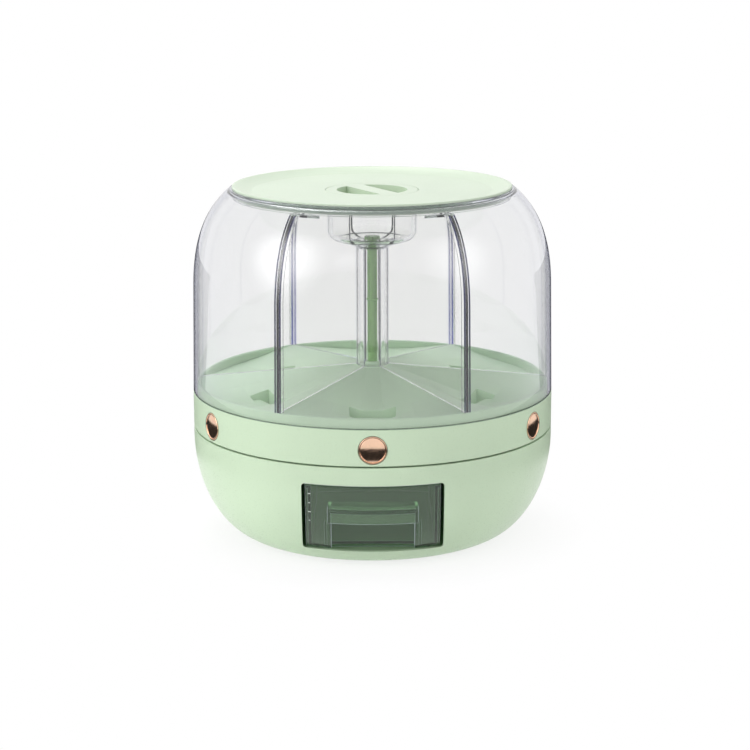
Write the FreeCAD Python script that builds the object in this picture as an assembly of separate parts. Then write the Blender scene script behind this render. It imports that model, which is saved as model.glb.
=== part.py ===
import FreeCAD, Part
import math
import os

# A rotating dry-food dispenser: a bowl-shaped base with a measuring drawer carries a turntable with six
# clear compartments, each let out through its own spring-closed gate and push button.
# Millimetres. +Z up, the drawer faces -Y, the origin is on the resting plane under the turning axis.
# Compartment 1 is over the drawer; the others follow counter-clockwise as seen from above.
# In the functions, s is the distance from the axis outwards along -Y and t the distance sideways along X.

V = FreeCAD.Vector
ORIGIN = V(0, 0, 0)
UP = V(0, 0, 1)

# Whole object
sector_count = 6
body_radius = 160.0
running_gap = 0.3
seat_gap = 0.2
slip_fit = 0.05
cut_margin = 5.0

# Base bowl
foot_lift = 2.0
shell_height = 94.7
shell_wall = 3.0
belly_bulge = 2.3
belly_height = 41.4
base_flat_radius = 110.9
heel_run = 23.4
edge_break = 0.7

# Drawer opening in the bowl
opening_half_width = 59.7
opening_sill = 17.3
opening_height = 63.9
opening_corner = 3.0

# Rubber feet
foot_circle = 80.0
foot_radius = 9.0
foot_recess = 1.2

# Deck that closes the bowl
deck_thickness = 2.4
ledge_width = 6.0
ledge_height = 3.0
deck_boss_height = 20.0
deck_boss_radius = 5.5
deck_screw_inset = 10.0

# Ball race under the turntable
ball_radius = 3.0
ball_count = 24
race_inset = 22.0
race_half_width = 5.0
race_height = 1.6
race_opening = 4.0
race_gap = 0.25
cage_half_width = 3.6
cage_thickness = 1.6

# Turning axle
spindle_radius = 8.0
spindle_flange_radius = 15.0
spindle_flange_height = 3.0
spindle_below_deck = 1.0
bush_wall = 3.0
hub_wall = 3.0
hub_height = 14.8
washer_radius = 13.0
washer_thickness = 1.2

# Fasteners
screw_shank_radius = 1.9
screw_head_radius = 3.3
screw_head_height = 2.0
screw_clearance = 0.15
thread_fit = 0.05
axle_screw_radius = 2.5
axle_screw_head_radius = 4.6
axle_screw_head_height = 3.0
axle_screw_length = 14.0

# Turntable: collar, valve plate and button row
seam_gap = 1.3
collar_height = 31.2
collar_wall = 3.0
valve_overlap = 2.4
valve_inset = 6.0
valve_thickness = 2.6
button_height = 14.1
button_radius = 11.8
button_gap = 0.5
button_travel = 8.0
button_depth = 9.0
button_proud = 0.4
button_crown = 0.9
button_rim = 1.3
button_wall = 1.6
sleeve_wall = 1.1
sleeve_length = 6.7
stud_radius = 5.0
lug_depth = 17.0
lug_half_width = 9.0
lug_height = 7.8
carousel_screw_inset = 13.0
carousel_screw_length = 22.4

# Gates
gate_half_width = 22.0
gate_thickness = 2.5
gate_overlap = 0.5
gate_web = 2.5
gate_inner_run = 18.0
throat_half_width = 18.0
throat_inset = 57.0
rail_width = 2.0
rail_run = 10.0
upright_half_width = 9.0
upright_height = 19.0
upright_set_back = 10.5
spring_lug_half_width = 5.0
spring_height = 6.0
spring_pin_radius = 2.0
spring_pin_length = 5.5

# Return springs
spring_length = 23.0
spring_radius = 3.1
spring_wire_radius = 0.4
spring_turns = 7
spring_clear = 0.05

# Hopper tray
rim_height = 9.0
rim_wall = 3.4
rim_skirt = 11.2
rim_clearance = 0.5
floor_thickness = 2.5
ridge_half_width = 1.25
ridge_peak = 20.8
ridge_fall = 0.0847
hub_section = 16.0
inner_section = 42.0
middle_section = 76.0
mouth_set_back = 1.0
mouth_set_forward = 1.0
mouth_half_width = 19.9
notch_run = 9.0
notch_half_width = 19.4
apron_below_rim = 12.7
chute_fall = 0.245
chute_half_width = 5.1
chute_spread = 0.0417
apron_rise = 0.12
funnel_half_width = 32.0
funnel_power = 0.35
flank_drop = 5.2
shoulder_reach = 0.42
shoulder_rise = 0.45
outlet_wall = 2.5
seal_plate = 2.0
tray_cavity_radius = 19.0
tray_crown = 13.0
socket_radius = 6.2
socket_height = 2.6
tray_boss_radius = 4.6
boss_bore_depth = 16.0

# Clear dome
dome_wall = 3.0
dome_seal_height = 0.7
dome_draft = 1.8
dome_straight = 94.9
shoulder_pull_low = 38.3
shoulder_pull_low_in = 0.7
shoulder_pull_top = 64.9
shoulder_pull_top_in = 10.4
neck_rise = 83.8
neck_radius = 124.6
neck_bore_radius = 119.4
neck_lip_wall = 2.5
neck_lip_height = 9.1
guide_rib_width = 1.5
guide_rib_depth = 4.0
guide_rib_gap = 0.35

# Divider with its centre column and well
leaf_thickness = 2.6
leaf_lift = 0.2
leaf_clearance = 0.4
leaf_top_gap = 0.8
neck_keep_out = 3.0
column_radius = 15.5
column_wall = 2.5
well_radius = 40.0
well_wall = 2.6
well_corner_height = 28.3
well_corner = 8.9
well_floor_radius = 20.0
well_floor_slope = 3.8
well_floor_thickness = 2.5
gusset_along = 17.0
gusset_across = 18.0
gusset_thickness = 2.0

# Tie rod through the column
rod_radius = 4.4
rod_web = 2.4
rod_core_radius = 2.2
rod_end_length = 16.0
rod_collar_radius = 5.4
rod_collar_thickness = 1.0
rod_collar_height = 58.0
rod_socket_depth = 5.5
tie_screw_radius = 2.5
tie_screw_length = 13.0
tie_knob_radius = 7.0
tie_knob_height = 5.0
tie_knob_flutes = 8
tie_knob_flute_radius = 1.2

# Lid
lid_radius = 122.9
lid_flange = 1.9
lid_rim_width = 2.6
lid_dish_depth = 4.6
lid_dish_radius = 105.5
lid_plate = 2.5
lid_skirt_gap = 1.0
lid_skirt_wall = 2.2
lid_skirt_height = 8.2
lid_seal_lift = 1.3
lid_seal_height = 5.6
lid_seal_depth = 0.9
lid_seal_gap = 0.3

# Centre cap of the lid
cap_radius = 40.6
cap_gap = 0.4
cap_flange = 1.6
cap_seat_width = 3.5
cap_seat_drop = 2.5
cap_seat_height = 1.7
cap_skirt_radius = 36.4
cap_skirt_wall = 2.0
cap_skirt_height = 7.5
bayonet_reach = 2.8
bayonet_height = 1.8
bayonet_gap = 0.4
bayonet_count = 3
bayonet_span = 24.0
cap_turn = 45.0
cap_seal_height = 0.7
cap_seal_width = 2.2
grip_radius = 31.0
grip_depth = 10.0
grip_bar_half_width = 8.5
grip_bar_angle = 30.0
grip_wall = 1.8

# Drop chute through the deck
chute_inner_length = 15.0
chute_inner_half_width = 20.5
chute_wall = 2.0
chute_flange_width = 3.0
chute_flange_height = 2.0
chute_below_deck = 5.0
chute_top_gap = 0.4

# Drawer housing inside the base
housing_gap = 1.3
housing_wall = 2.5
housing_tail = 30.0
housing_hold_down_width = 6.5
housing_hold_down_gap = 0.4
housing_hold_down_thickness = 2.0
housing_hold_down_front = 118.0
housing_screw_side = 38.0
housing_screw_front = 95.0
housing_screw_back = 15.0
housing_boss_radius = 6.0
housing_boss_height = 3.0
housing_screw_length = 9.0
housing_guide_height = 1.8
housing_guide_front = 118.0

# Drawer
drawer_side_gap = 2.9
drawer_end_gap = 0.8
front_recess = 2.5
front_wall = 3.0
bin_half_width = 54.0
bin_wall = 2.4
bin_lift = 2.7
bin_tail_gap = 3.0
bin_top_gap = 3.2
bin_rim_width = 2.0
bin_rim_height = 2.0
runner_offset = 47.0
runner_width = 2.0
niche_half_width = 35.3
niche_wall = 2.7
mouth_frame_half_width = 40.5
mouth_frame_depth = 7.0
niche_back_gap = 22.0
niche_height = 38.0
hood_lip_height = 29.2
hood_top_height = 44.7
hood_crease_height = 40.7
hood_lip_proud = 4.4
hood_crease_proud = 2.6
hood_wall = 2.5

# Heights that follow
base_top = foot_lift + shell_height
collar_bottom = base_top + seam_gap
collar_top = collar_bottom + collar_height
button_z = collar_bottom + button_height
valve_bottom = collar_bottom - valve_overlap
valve_top = valve_bottom + valve_thickness
gate_bottom = valve_top + running_gap
gate_top = gate_bottom + gate_thickness
channel_top = gate_top + running_gap
spring_z = gate_top + spring_height - spring_radius
upper_race_bottom = valve_bottom - race_height
ball_z = upper_race_bottom - race_opening / 2
lower_race_top = upper_race_bottom - race_opening
deck_top = lower_race_top - race_height
deck_bottom = deck_top - deck_thickness
hub_top = valve_bottom + hub_height
lug_top = valve_top + lug_height
rim_top = collar_top + rim_height
apron_top = rim_top - apron_below_rim
ridge_top = collar_top + ridge_peak
dome_bottom = collar_top + dome_seal_height
dome_shoulder = dome_bottom + dome_straight
neck_top = dome_shoulder + neck_rise
neck_lip_bottom = neck_top - neck_lip_height
lid_flange_bottom = neck_top + seat_gap
lid_top = lid_flange_bottom + lid_flange
dish_top = lid_top - lid_dish_depth
dish_bottom = dish_top - lid_plate
opening_top = opening_sill + opening_height
bin_bottom = opening_sill + bin_lift
bin_top = opening_top - bin_top_gap

# Radii and distances from the axis that follow
collar_inner = body_radius - collar_wall
valve_radius = body_radius - valve_inset
race_radius = body_radius - race_inset
dome_foot_radius = body_radius - 0.1
dome_shoulder_radius = dome_foot_radius - dome_draft
rim_outer = dome_foot_radius - dome_wall - rim_clearance
rim_inner = rim_outer - rim_wall
throat_outer = body_radius - throat_inset
throat_inner = throat_outer - (button_travel - gate_overlap)
gate_inner = throat_inner - gate_inner_run
gate_outer = body_radius - upright_set_back
mouth_inner = throat_inner - mouth_set_back
mouth_outer = throat_outer + mouth_set_forward
apron_start = mouth_outer + notch_run
spring_post = gate_inner - spring_length
bush_bore = spindle_radius + slip_fit
bush_outer = bush_bore + bush_wall
hub_outer = bush_outer + hub_wall
carousel_screw_circle = body_radius - carousel_screw_inset
deck_screw_circle = body_radius - deck_screw_inset
cap_hole_radius = cap_radius + cap_gap
leaf_angle = 180.0 / sector_count

# Outlines of the bowl and of the dome's shoulder, as cubic curves from their top end down
bowl_curve = [
    (body_radius, base_top),
    (body_radius + belly_bulge, foot_lift + belly_height),
    (base_flat_radius + heel_run, foot_lift),
    (base_flat_radius, foot_lift),
]
shoulder_curve = [
    (neck_radius, neck_top),
    (dome_shoulder_radius - shoulder_pull_top_in, dome_shoulder + shoulder_pull_top),
    (dome_shoulder_radius - shoulder_pull_low_in, dome_shoulder + shoulder_pull_low),
    (dome_shoulder_radius, dome_shoulder),
]


# Small tools for shapes

def disc(radius, low, high):
    return Part.makeCylinder(radius, high - low, V(0, 0, low))


def tube(inner, outer, low, high):
    hole = disc(inner, low - cut_margin, high + cut_margin)
    return disc(outer, low, high).cut(hole)


def post(radius, low, high, x, y):
    return Part.makeCylinder(radius, high - low, V(x, y, low))


def block(x0, x1, s0, s1, low, high):
    return Part.makeBox(x1 - x0, s1 - s0, high - low, V(x0, -s1, low))


def outward_bar(radius, s0, s1, height):
    return Part.makeCylinder(radius, s1 - s0, V(0, -s0, height), V(0, -1, 0))


def turned(shape, angle):
    copy = shape.copy()
    copy.rotate(ORIGIN, UP, angle)
    return copy


def around(shape, count, start=0.0):
    return [turned(shape, start + 360.0 * k / count) for k in range(count)]


def joined(shapes):
    shapes = list(shapes)
    return shapes[0].multiFuse(shapes[1:]).removeSplitter()


def cut_all(shape, tools):
    return shape.cut(Part.makeCompound(list(tools)))


def polygon(points):
    return Part.makePolygon(list(points) + [points[0]])


def spun_edges(edges):
    face = Part.Face(Part.Wire(edges))
    return face.revolve(ORIGIN, UP, 360)


def spun(points):
    corners = [V(r, 0, z) for r, z in points]
    return Part.Face(polygon(corners)).revolve(ORIGIN, UP, 360)


def line(a, b):
    return Part.makeLine(V(a[0], 0, a[1]), V(b[0], 0, b[1]))


def path(points):
    """Straight edges through the points; a point that repeats the one before it is left out."""
    kept = [points[0]]
    for point in points[1:]:
        if math.dist(point, kept[-1]) > 1e-6:
            kept.append(point)
    return [line(a, b) for a, b in zip(kept, kept[1:])]


def arc(a, middle, b):
    ends = [V(p[0], 0, p[1]) for p in (a, middle, b)]
    return Part.Arc(*ends).toShape()


def polar(radius, angle):
    turn = math.radians(angle)
    return radius * math.sin(turn), -radius * math.cos(turn)


# Curved outlines

def curve_point(curve, share, inset):
    """A point of a cubic outline, moved inwards by the inset; the outline runs from its top end down."""
    rest = 1 - share
    weights = (rest ** 3, 3 * rest * rest * share, 3 * rest * share * share, share ** 3)
    r = sum(w * p[0] for w, p in zip(weights, curve))
    z = sum(w * p[1] for w, p in zip(weights, curve))
    slopes = (rest * rest, 2 * rest * share, share * share)
    steps = [(b[0] - a[0], b[1] - a[1]) for a, b in zip(curve, curve[1:])]
    dr = sum(w * d[0] for w, d in zip(slopes, steps))
    dz = sum(w * d[1] for w, d in zip(slopes, steps))
    length = math.hypot(dr, dz)
    return r + inset * dz / length, z - inset * dr / length


def curve_edge(curve, inset, last=1.0):
    steps = 12
    points = [curve_point(curve, last * k / steps, inset) for k in range(steps + 1)]
    spline = Part.BSplineCurve()
    spline.interpolate([V(r, 0, z) for r, z in points])
    return spline.toShape(), points[0], points[-1]


def curve_radius(curve, inset, height):
    low, high = 0.0, 1.0
    for _ in range(40):
        middle = (low + high) / 2
        if curve_point(curve, middle, inset)[1] > height:
            low = middle
        else:
            high = middle
    return curve_point(curve, low, inset)[0]


def bowl_solid(inset, top):
    """Everything inside the bowl's outline, moved inwards by the inset."""
    edge, first, last = curve_edge(bowl_curve, inset)
    rest = path([last, (0, last[1]), (0, top), (first[0], top), first])
    return spun_edges([edge] + rest)


def dome_solid(inset, low):
    """Everything inside the dome's outline, moved inwards by the inset, down to a level."""
    edge, first, last = curve_edge(shoulder_curve, inset)
    foot = (dome_foot_radius - inset, low)
    rest = path([last, foot, (0, low), (0, first[1]), first])
    return spun_edges([edge] + rest)


# Fasteners

def pan_screw(x, y, seat, tip, shank, head_radius, head_height):
    """A screw whose head bears on the seat level and whose shank ends at the tip level."""
    direction = 1 if tip > seat else -1
    shank_low, shank_high = min(seat, tip), max(seat, tip)
    rod = post(shank, shank_low, shank_high, x, y)
    head_low = min(seat, seat - direction * head_height)
    head = post(head_radius, head_low, head_low + head_height, x, y)
    face = seat - direction * head_height
    slot_depth = head_height / 2
    slot_low = min(face, face + direction * slot_depth)
    cross = []
    for long_x in (True, False):
        half_x = head_radius * 0.55 if long_x else head_radius * 0.14
        half_y = head_radius * 0.14 if long_x else head_radius * 0.55
        cross.append(Part.makeBox(2 * half_x, 2 * half_y, slot_depth, V(x - half_x, y - half_y, slot_low)))
    return cut_all(rod.fuse(head).removeSplitter(), cross)


# Base

def housing_screw_places():
    sides = (-housing_screw_side, housing_screw_side)
    return [(x, -s) for x in sides for s in (housing_screw_front, housing_screw_back)]


def foot_places():
    return [polar(foot_circle, 45 + 90 * k) for k in range(4)]


def deck_screw_places():
    return [polar(deck_screw_circle, leaf_angle + 360.0 * k / sector_count) for k in range(sector_count)]


def opening_block():
    half = opening_half_width
    hole = block(-half, half, body_radius / 2, body_radius + cut_margin, opening_sill, opening_top)
    corners = [e for e in hole.Edges if abs(e.tangentAt(e.FirstParameter).y) > 0.9]
    return hole.makeFillet(opening_corner, corners)


def base_shell():
    outer = bowl_solid(0, base_top)
    inner = bowl_solid(shell_wall, base_top + cut_margin)
    shell = outer.cut(inner)
    brim = spun([
        (body_radius - edge_break, base_top + 1),
        (body_radius + 1, base_top + 1),
        (body_radius + 1, base_top - edge_break),
    ])
    ledge_outer = curve_radius(bowl_curve, shell_wall / 2, deck_bottom)
    ledge_inner = ledge_outer - ledge_width - shell_wall / 2
    ledge = tube(ledge_inner, ledge_outer, deck_bottom - ledge_height, deck_bottom)
    bosses = [post(deck_boss_radius, deck_bottom - deck_boss_height, deck_bottom, x, y)
              for x, y in deck_screw_places()]
    inside = bowl_solid(shell_wall / 2, base_top)
    bosses = [b.common(inside) for b in bosses]
    floor_top = foot_lift + shell_wall
    pad_bottom = opening_sill - housing_wall - housing_boss_height
    pillars = [post(housing_boss_radius, floor_top - 1, pad_bottom, x, y)
               for x, y in housing_screw_places()]
    shell = joined([shell.cut(brim), ledge] + bosses + pillars)
    tools = [opening_block()]
    tools += [post(foot_radius, foot_lift - 1, foot_lift + foot_recess, x, y) for x, y in foot_places()]
    thread = screw_shank_radius + thread_fit
    tools += [post(thread, deck_bottom - deck_boss_height + 2, deck_bottom + 1, x, y)
              for x, y in deck_screw_places()]
    tools += [post(thread, floor_top, pad_bottom + 1, x, y) for x, y in housing_screw_places()]
    return cut_all(shell, tools)


def rubber_feet():
    feet = []
    for x, y in foot_places():
        pad = post(foot_radius - slip_fit, 0, foot_lift + foot_recess, x, y)
        low_edge = [e for e in pad.Edges if e.BoundBox.ZMax < 0.01]
        feet.append(pad.makeChamfer(edge_break, low_edge))
    return Part.makeCompound(feet)


def drawer_housing():
    half = opening_half_width + housing_gap
    outer_half = half + housing_wall
    low = opening_sill - housing_wall
    rail_low = bin_top + housing_hold_down_gap
    high = rail_low + housing_hold_down_thickness
    back = -housing_tail
    tunnel = block(-outer_half, outer_half, back - housing_wall, body_radius, low, high)
    hollow = block(-half, half, back, body_radius + 1, opening_sill, high + 1)
    body = tunnel.cut(hollow)
    guide = runner_offset + runner_width / 2 + running_gap
    for side in (-1, 1):
        x0, x1 = sorted((side * (half + 1), side * (half - housing_hold_down_width)))
        body = body.fuse(block(x0, x1, back - 1, housing_hold_down_front, rail_low, high))
        x0, x1 = sorted((side * guide, side * (guide + runner_width)))
        body = body.fuse(block(x0, x1, back - 1, housing_guide_front, opening_sill - 1,
                               opening_sill + housing_guide_height))
    pads = [post(housing_boss_radius, low - housing_boss_height, low + 1, x, y)
            for x, y in housing_screw_places()]
    body = joined([body] + pads).common(bowl_solid(shell_wall, base_top))
    hole = screw_shank_radius + screw_clearance
    sink = screw_head_radius + screw_clearance
    sink_floor = opening_sill - screw_head_height - running_gap
    tools = []
    for x, y in housing_screw_places():
        tools.append(post(hole, low - cut_margin, high, x, y))
        tools.append(post(sink, sink_floor, high, x, y))
    return cut_all(body, tools)


def housing_screws():
    seat = opening_sill - screw_head_height - running_gap
    screws = [pan_screw(x, y, seat, seat - housing_screw_length,
                        screw_shank_radius, screw_head_radius, screw_head_height)
              for x, y in housing_screw_places()]
    return Part.makeCompound(screws)


def chute_centre():
    return (throat_inner + throat_outer) / 2


def turntable_deck():
    radius = curve_radius(bowl_curve, shell_wall, deck_bottom) - running_gap
    plate = disc(radius, deck_bottom, deck_top)
    race = tube(race_radius - race_half_width, race_radius + race_half_width, deck_top - 1, lower_race_top)
    boss_top = valve_bottom - running_gap - 2.0
    boss = disc(spindle_flange_radius + 2, deck_top - 1, boss_top)
    groove = Part.makeTorus(race_radius, ball_radius + race_gap, V(0, 0, ball_z))
    centre = chute_centre()
    half_length = chute_inner_length / 2 + chute_wall + slip_fit
    half_width = chute_inner_half_width + chute_wall + slip_fit
    tools = [groove, disc(spindle_radius + slip_fit, deck_bottom - 1, boss_top + 1)]
    tools.append(block(-half_width, half_width, centre - half_length, centre + half_length,
                       deck_bottom - 1, deck_top + 1))
    hole = screw_shank_radius + screw_clearance
    tools += [post(hole, deck_bottom - 1, deck_top + 1, x, y) for x, y in deck_screw_places()]
    tools += [post(screw_shank_radius + thread_fit, deck_bottom - 1, boss_top - 1, x, y)
              for x, y in spindle_screw_places()]
    return cut_all(joined([plate, race, boss]), tools)


def deck_screws():
    screws = [pan_screw(x, y, deck_top, deck_top - 12, screw_shank_radius, screw_head_radius,
                        screw_head_height) for x, y in deck_screw_places()]
    return Part.makeCompound(screws)


def drop_chute():
    """A rectangular funnel that hangs in the deck and catches what falls through the open gate."""
    centre = chute_centre()
    half_length = chute_inner_length / 2
    half_width = chute_inner_half_width
    top = valve_bottom - chute_top_gap
    low = deck_bottom - chute_below_deck
    wall = chute_wall
    walls = block(-half_width - wall, half_width + wall, centre - half_length - wall,
                  centre + half_length + wall, low, top)
    reach = wall + chute_flange_width
    flange = block(-half_width - reach, half_width + reach, centre - half_length - reach,
                   centre + half_length + reach, deck_top, deck_top + chute_flange_height)
    bore = block(-half_width, half_width, centre - half_length, centre + half_length, low - 1, top + 1)
    return walls.fuse(flange).removeSplitter().cut(bore)


def spindle_screw_places():
    radius = (spindle_radius + spindle_flange_radius) / 2 + 0.2
    return [polar(radius, 60 + 120 * k) for k in range(3)]


def spindle():
    top = hub_top + seat_gap * 2
    low = deck_bottom - spindle_flange_height
    axle = disc(spindle_radius, low - spindle_below_deck, top)
    flange = disc(spindle_flange_radius, low, deck_bottom)
    tools = [disc(axle_screw_radius + thread_fit, top - axle_screw_length - 1, top + 1)]
    tools += [post(screw_shank_radius + screw_clearance, low - 1, deck_bottom + 1, x, y)
              for x, y in spindle_screw_places()]
    return cut_all(joined([axle, flange]), tools)


def spindle_screws():
    seat = deck_bottom - spindle_flange_height
    screws = [pan_screw(x, y, seat, seat + 8, screw_shank_radius, screw_head_radius,
                        screw_head_height) for x, y in spindle_screw_places()]
    return Part.makeCompound(screws)


def axle_washer():
    low = hub_top + seat_gap * 2
    return tube(axle_screw_radius + screw_clearance, washer_radius, low, low + washer_thickness)


def axle_screw():
    seat = hub_top + seat_gap * 2 + washer_thickness
    tip = seat - washer_thickness - axle_screw_length
    return pan_screw(0, 0, seat, tip, axle_screw_radius, axle_screw_head_radius, axle_screw_head_height)


# Ball race

def race_balls():
    ball = Part.makeSphere(ball_radius, V(0, -race_radius, ball_z))
    return Part.makeCompound(around(ball, ball_count))


def ball_cage():
    low = ball_z - cage_thickness / 2
    ring = tube(race_radius - cage_half_width, race_radius + cage_half_width, low, low + cage_thickness)
    pocket = post(ball_radius + slip_fit, low - 1, low + cage_thickness + 1, 0, -race_radius)
    return cut_all(ring, around(pocket, ball_count))


# Turntable below the compartments

def carousel_screw_places():
    return [polar(carousel_screw_circle, leaf_angle + 360.0 * k / sector_count)
            for k in range(sector_count)]


def valve_plate():
    """The turning floor under the gates: throats, gate rails, spring posts and the axle hub."""
    plate = disc(valve_radius, valve_bottom, valve_top)
    hub = disc(hub_outer, valve_bottom, hub_top)
    race = tube(race_radius - race_half_width, race_radius + race_half_width,
                upper_race_bottom, valve_bottom + 1)
    rail_in = gate_half_width + running_gap
    rail_out = rail_in + rail_width
    rail_start = gate_inner - rail_run
    rail_end = gate_outer - cut_margin
    rails = [block(rail_in, rail_out, rail_start, rail_end, valve_top - 1, channel_top),
             block(-rail_out, -rail_in, rail_start, rail_end, valve_top - 1, channel_top)]
    half = spring_lug_half_width
    lug_high = spring_z + spring_radius + 1
    stop = block(-half, half, spring_post - gate_web, spring_post, valve_top - 1, lug_high)
    pin = outward_bar(spring_pin_radius, spring_post - 1, spring_post + spring_pin_length, spring_z)
    extras = []
    for piece in rails + [stop, pin]:
        extras += around(piece, sector_count)
    body = joined([plate, hub, race] + extras)
    throat = block(-throat_half_width, throat_half_width, throat_inner, throat_outer,
                   valve_bottom - 1, valve_top + 1)
    groove = Part.makeTorus(race_radius, ball_radius + race_gap, V(0, 0, ball_z))
    tools = [groove, disc(bush_outer, upper_race_bottom - 1, hub_top + 1)]
    tools += around(throat, sector_count)
    hole = screw_shank_radius + screw_clearance
    tools += [post(hole, valve_bottom - 1, valve_top + 1, x, y) for x, y in carousel_screw_places()]
    return cut_all(body, tools)


def hub_bush():
    flange_low = valve_bottom - 2.0
    flange = tube(bush_bore, bush_outer + 2, flange_low, valve_bottom)
    sleeve = tube(bush_bore, bush_outer, flange_low, hub_top)
    return flange.fuse(sleeve).removeSplitter()


def collar_ring():
    """The outer ring with the six button sleeves and the six lugs that hold it to the valve plate."""
    brk = edge_break
    ring = spun([
        (collar_inner, collar_bottom),
        (body_radius - brk, collar_bottom),
        (body_radius, collar_bottom + brk),
        (body_radius, collar_top - brk / 2),
        (body_radius - brk / 2, collar_top),
        (collar_inner, collar_top),
    ])
    bore = button_radius + button_gap
    sleeve_start = collar_inner - sleeve_length
    sleeve = outward_bar(bore + sleeve_wall, sleeve_start, collar_inner + 1, button_z)
    lug = block(-lug_half_width, lug_half_width, body_radius - collar_wall - lug_depth,
                collar_inner + 1, valve_top, lug_top)
    inside = disc(body_radius - collar_wall / 2, valve_top, collar_top)
    lug = lug.common(inside)
    parts = [ring] + around(sleeve, sector_count) + around(lug, sector_count, leaf_angle)
    hole = outward_bar(bore, sleeve_start - 1, body_radius + cut_margin, button_z)
    tools = around(hole, sector_count)
    clear = screw_shank_radius + screw_clearance
    tools += [post(clear, valve_top - 1, lug_top + 1, x, y) for x, y in carousel_screw_places()]
    return cut_all(joined(parts), tools)


def carousel_screws():
    screws = [pan_screw(x, y, valve_bottom, valve_bottom + carousel_screw_length,
                        screw_shank_radius, screw_head_radius, screw_head_height)
              for x, y in carousel_screw_places()]
    return Part.makeCompound(screws)


# Hopper tray

def ridge_height(radius):
    return ridge_top - ridge_fall * (radius - hub_section)


def floor_section(s, drop, close):
    """The floor's line across one sector at the distance s, lowered by the drop, closed at a level."""
    ridge = s * math.tan(math.radians(leaf_angle)) - ridge_half_width
    ridge_z = ridge_height(s / math.cos(math.radians(leaf_angle)))
    chute = chute_half_width + chute_spread * s
    chute_z = apron_top
    if s < apron_start:
        chute_z += chute_fall * (apron_start - s)
    else:
        chute_z += apron_rise * (s - apron_start)
    edge = min(ridge - 1.0, funnel_half_width * (s / mouth_inner) ** funnel_power)
    edge_z = ridge_z - flank_drop * min(1.0, (s / mouth_inner) ** 2)
    chute = min(chute, edge - 1.6)
    shoulder = chute + shoulder_reach * (edge - chute)
    shoulder_z = chute_z + shoulder_rise * (edge_z - chute_z)
    half = [(chute, chute_z), (shoulder, shoulder_z), (edge, edge_z), (ridge, ridge_z)]
    line_points = [(-t, z) for t, z in reversed(half)] + half
    corners = [V(t, -s, z - drop) for t, z in line_points]
    corners += [V(ridge, -s, close), V(-ridge, -s, close)]
    return polygon(corners)


def floor_loft(drop, close, radius):
    stations = (hub_section, inner_section, middle_section, mouth_inner, apron_start, body_radius)
    wires = [floor_section(s, drop, close) for s in stations]
    solid = Part.makeLoft(wires, True, True)
    low, high = min(close, channel_top), max(close, rim_top + 2 * cut_margin)
    return solid.common(disc(radius, low - cut_margin, high + cut_margin))


def rectangle(s0, s1, half, height):
    return polygon([V(-half, -s0, height), V(half, -s0, height),
                    V(half, -s1, height), V(-half, -s1, height)])


def outlet(wall, high):
    """One outlet: a funnel down to the gate's throat, under a notch in the floor that narrows outwards."""
    low = rectangle(throat_inner - wall, throat_outer + wall, throat_half_width + wall, channel_top)
    mouth = rectangle(mouth_inner - wall, mouth_outer + wall, mouth_half_width + wall, apron_top)
    funnel = Part.makeLoft([low, mouth], True, True)
    wide = mouth_half_width + wall
    narrow = notch_half_width + wall
    s0, s1 = mouth_inner - wall, apron_start + wall
    floor = apron_top - wall
    outline = polygon([V(-wide, -s0, floor), V(wide, -s0, floor),
                       V(narrow, -s1, floor), V(-narrow, -s1, floor)])
    notch = Part.Face(outline).extrude(V(0, 0, high - floor))
    return funnel.fuse(notch).removeSplitter()


def hopper_tray():
    """The six sloping floors under the compartments, their outlets, ribs, rim and the rod's socket."""
    high = rim_top + 4 * cut_margin
    rim_low = rim_top - rim_skirt
    ring_round = rim_wall / 4
    blank = spun([
        (0, lug_top),
        (rim_inner - 2, lug_top),
        (rim_inner - 2, rim_low),
        (rim_outer, rim_low),
        (rim_outer, rim_top - ring_round),
        (rim_outer - ring_round, rim_top),
        (rim_inner + ring_round, rim_top),
        (rim_inner, rim_top - ring_round),
        (rim_inner, ridge_height(rim_inner)),
        (hub_section, ridge_top),
        (0, ridge_top),
    ])
    under = floor_loft(floor_thickness, lug_top - cut_margin, rim_inner)
    body = cut_all(blank, around(under, sector_count))
    well = outlet(outlet_wall, high)
    seal = block(-gate_half_width - rail_width, gate_half_width + rail_width,
                 throat_inner - 2 * outlet_wall, throat_outer + button_travel + outlet_wall + 1,
                 channel_top, channel_top + seal_plate)
    bosses = [post(tray_boss_radius, lug_top, rim_top, x, y)
              for x, y in carousel_screw_places()]
    body = joined([body] + around(well, sector_count) + around(seal, sector_count) + bosses)
    over = floor_loft(0, high + cut_margin, rim_inner)
    void = outlet(0, high + cut_margin)
    throat = block(-throat_half_width, throat_half_width, throat_inner, throat_outer,
                   channel_top - 1, channel_top + 1)
    rod_low = ridge_top - rod_socket_depth
    cavity_top = ridge_top - tray_crown
    tools = around(over, sector_count) + around(void, sector_count) + around(throat, sector_count)
    tools.append(disc(tray_cavity_radius, channel_top - cut_margin, cavity_top))
    tools += [post(screw_shank_radius + thread_fit, lug_top - 1, lug_top + boss_bore_depth, x, y)
              for x, y in carousel_screw_places()]
    body = cut_all(body, tools)
    collar = disc(socket_radius, ridge_top - 1, ridge_top + socket_height)
    body = body.fuse(collar).removeSplitter()
    bore = disc(rod_radius + slip_fit, rod_low, high)
    pilot = disc(screw_shank_radius + screw_clearance, cavity_top - 1, high)
    return cut_all(body, [bore, pilot])


# Dome, divider and rod

def dome_seal():
    return tube(collar_inner + running_gap, body_radius - running_gap, collar_top, dome_bottom)


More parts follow.
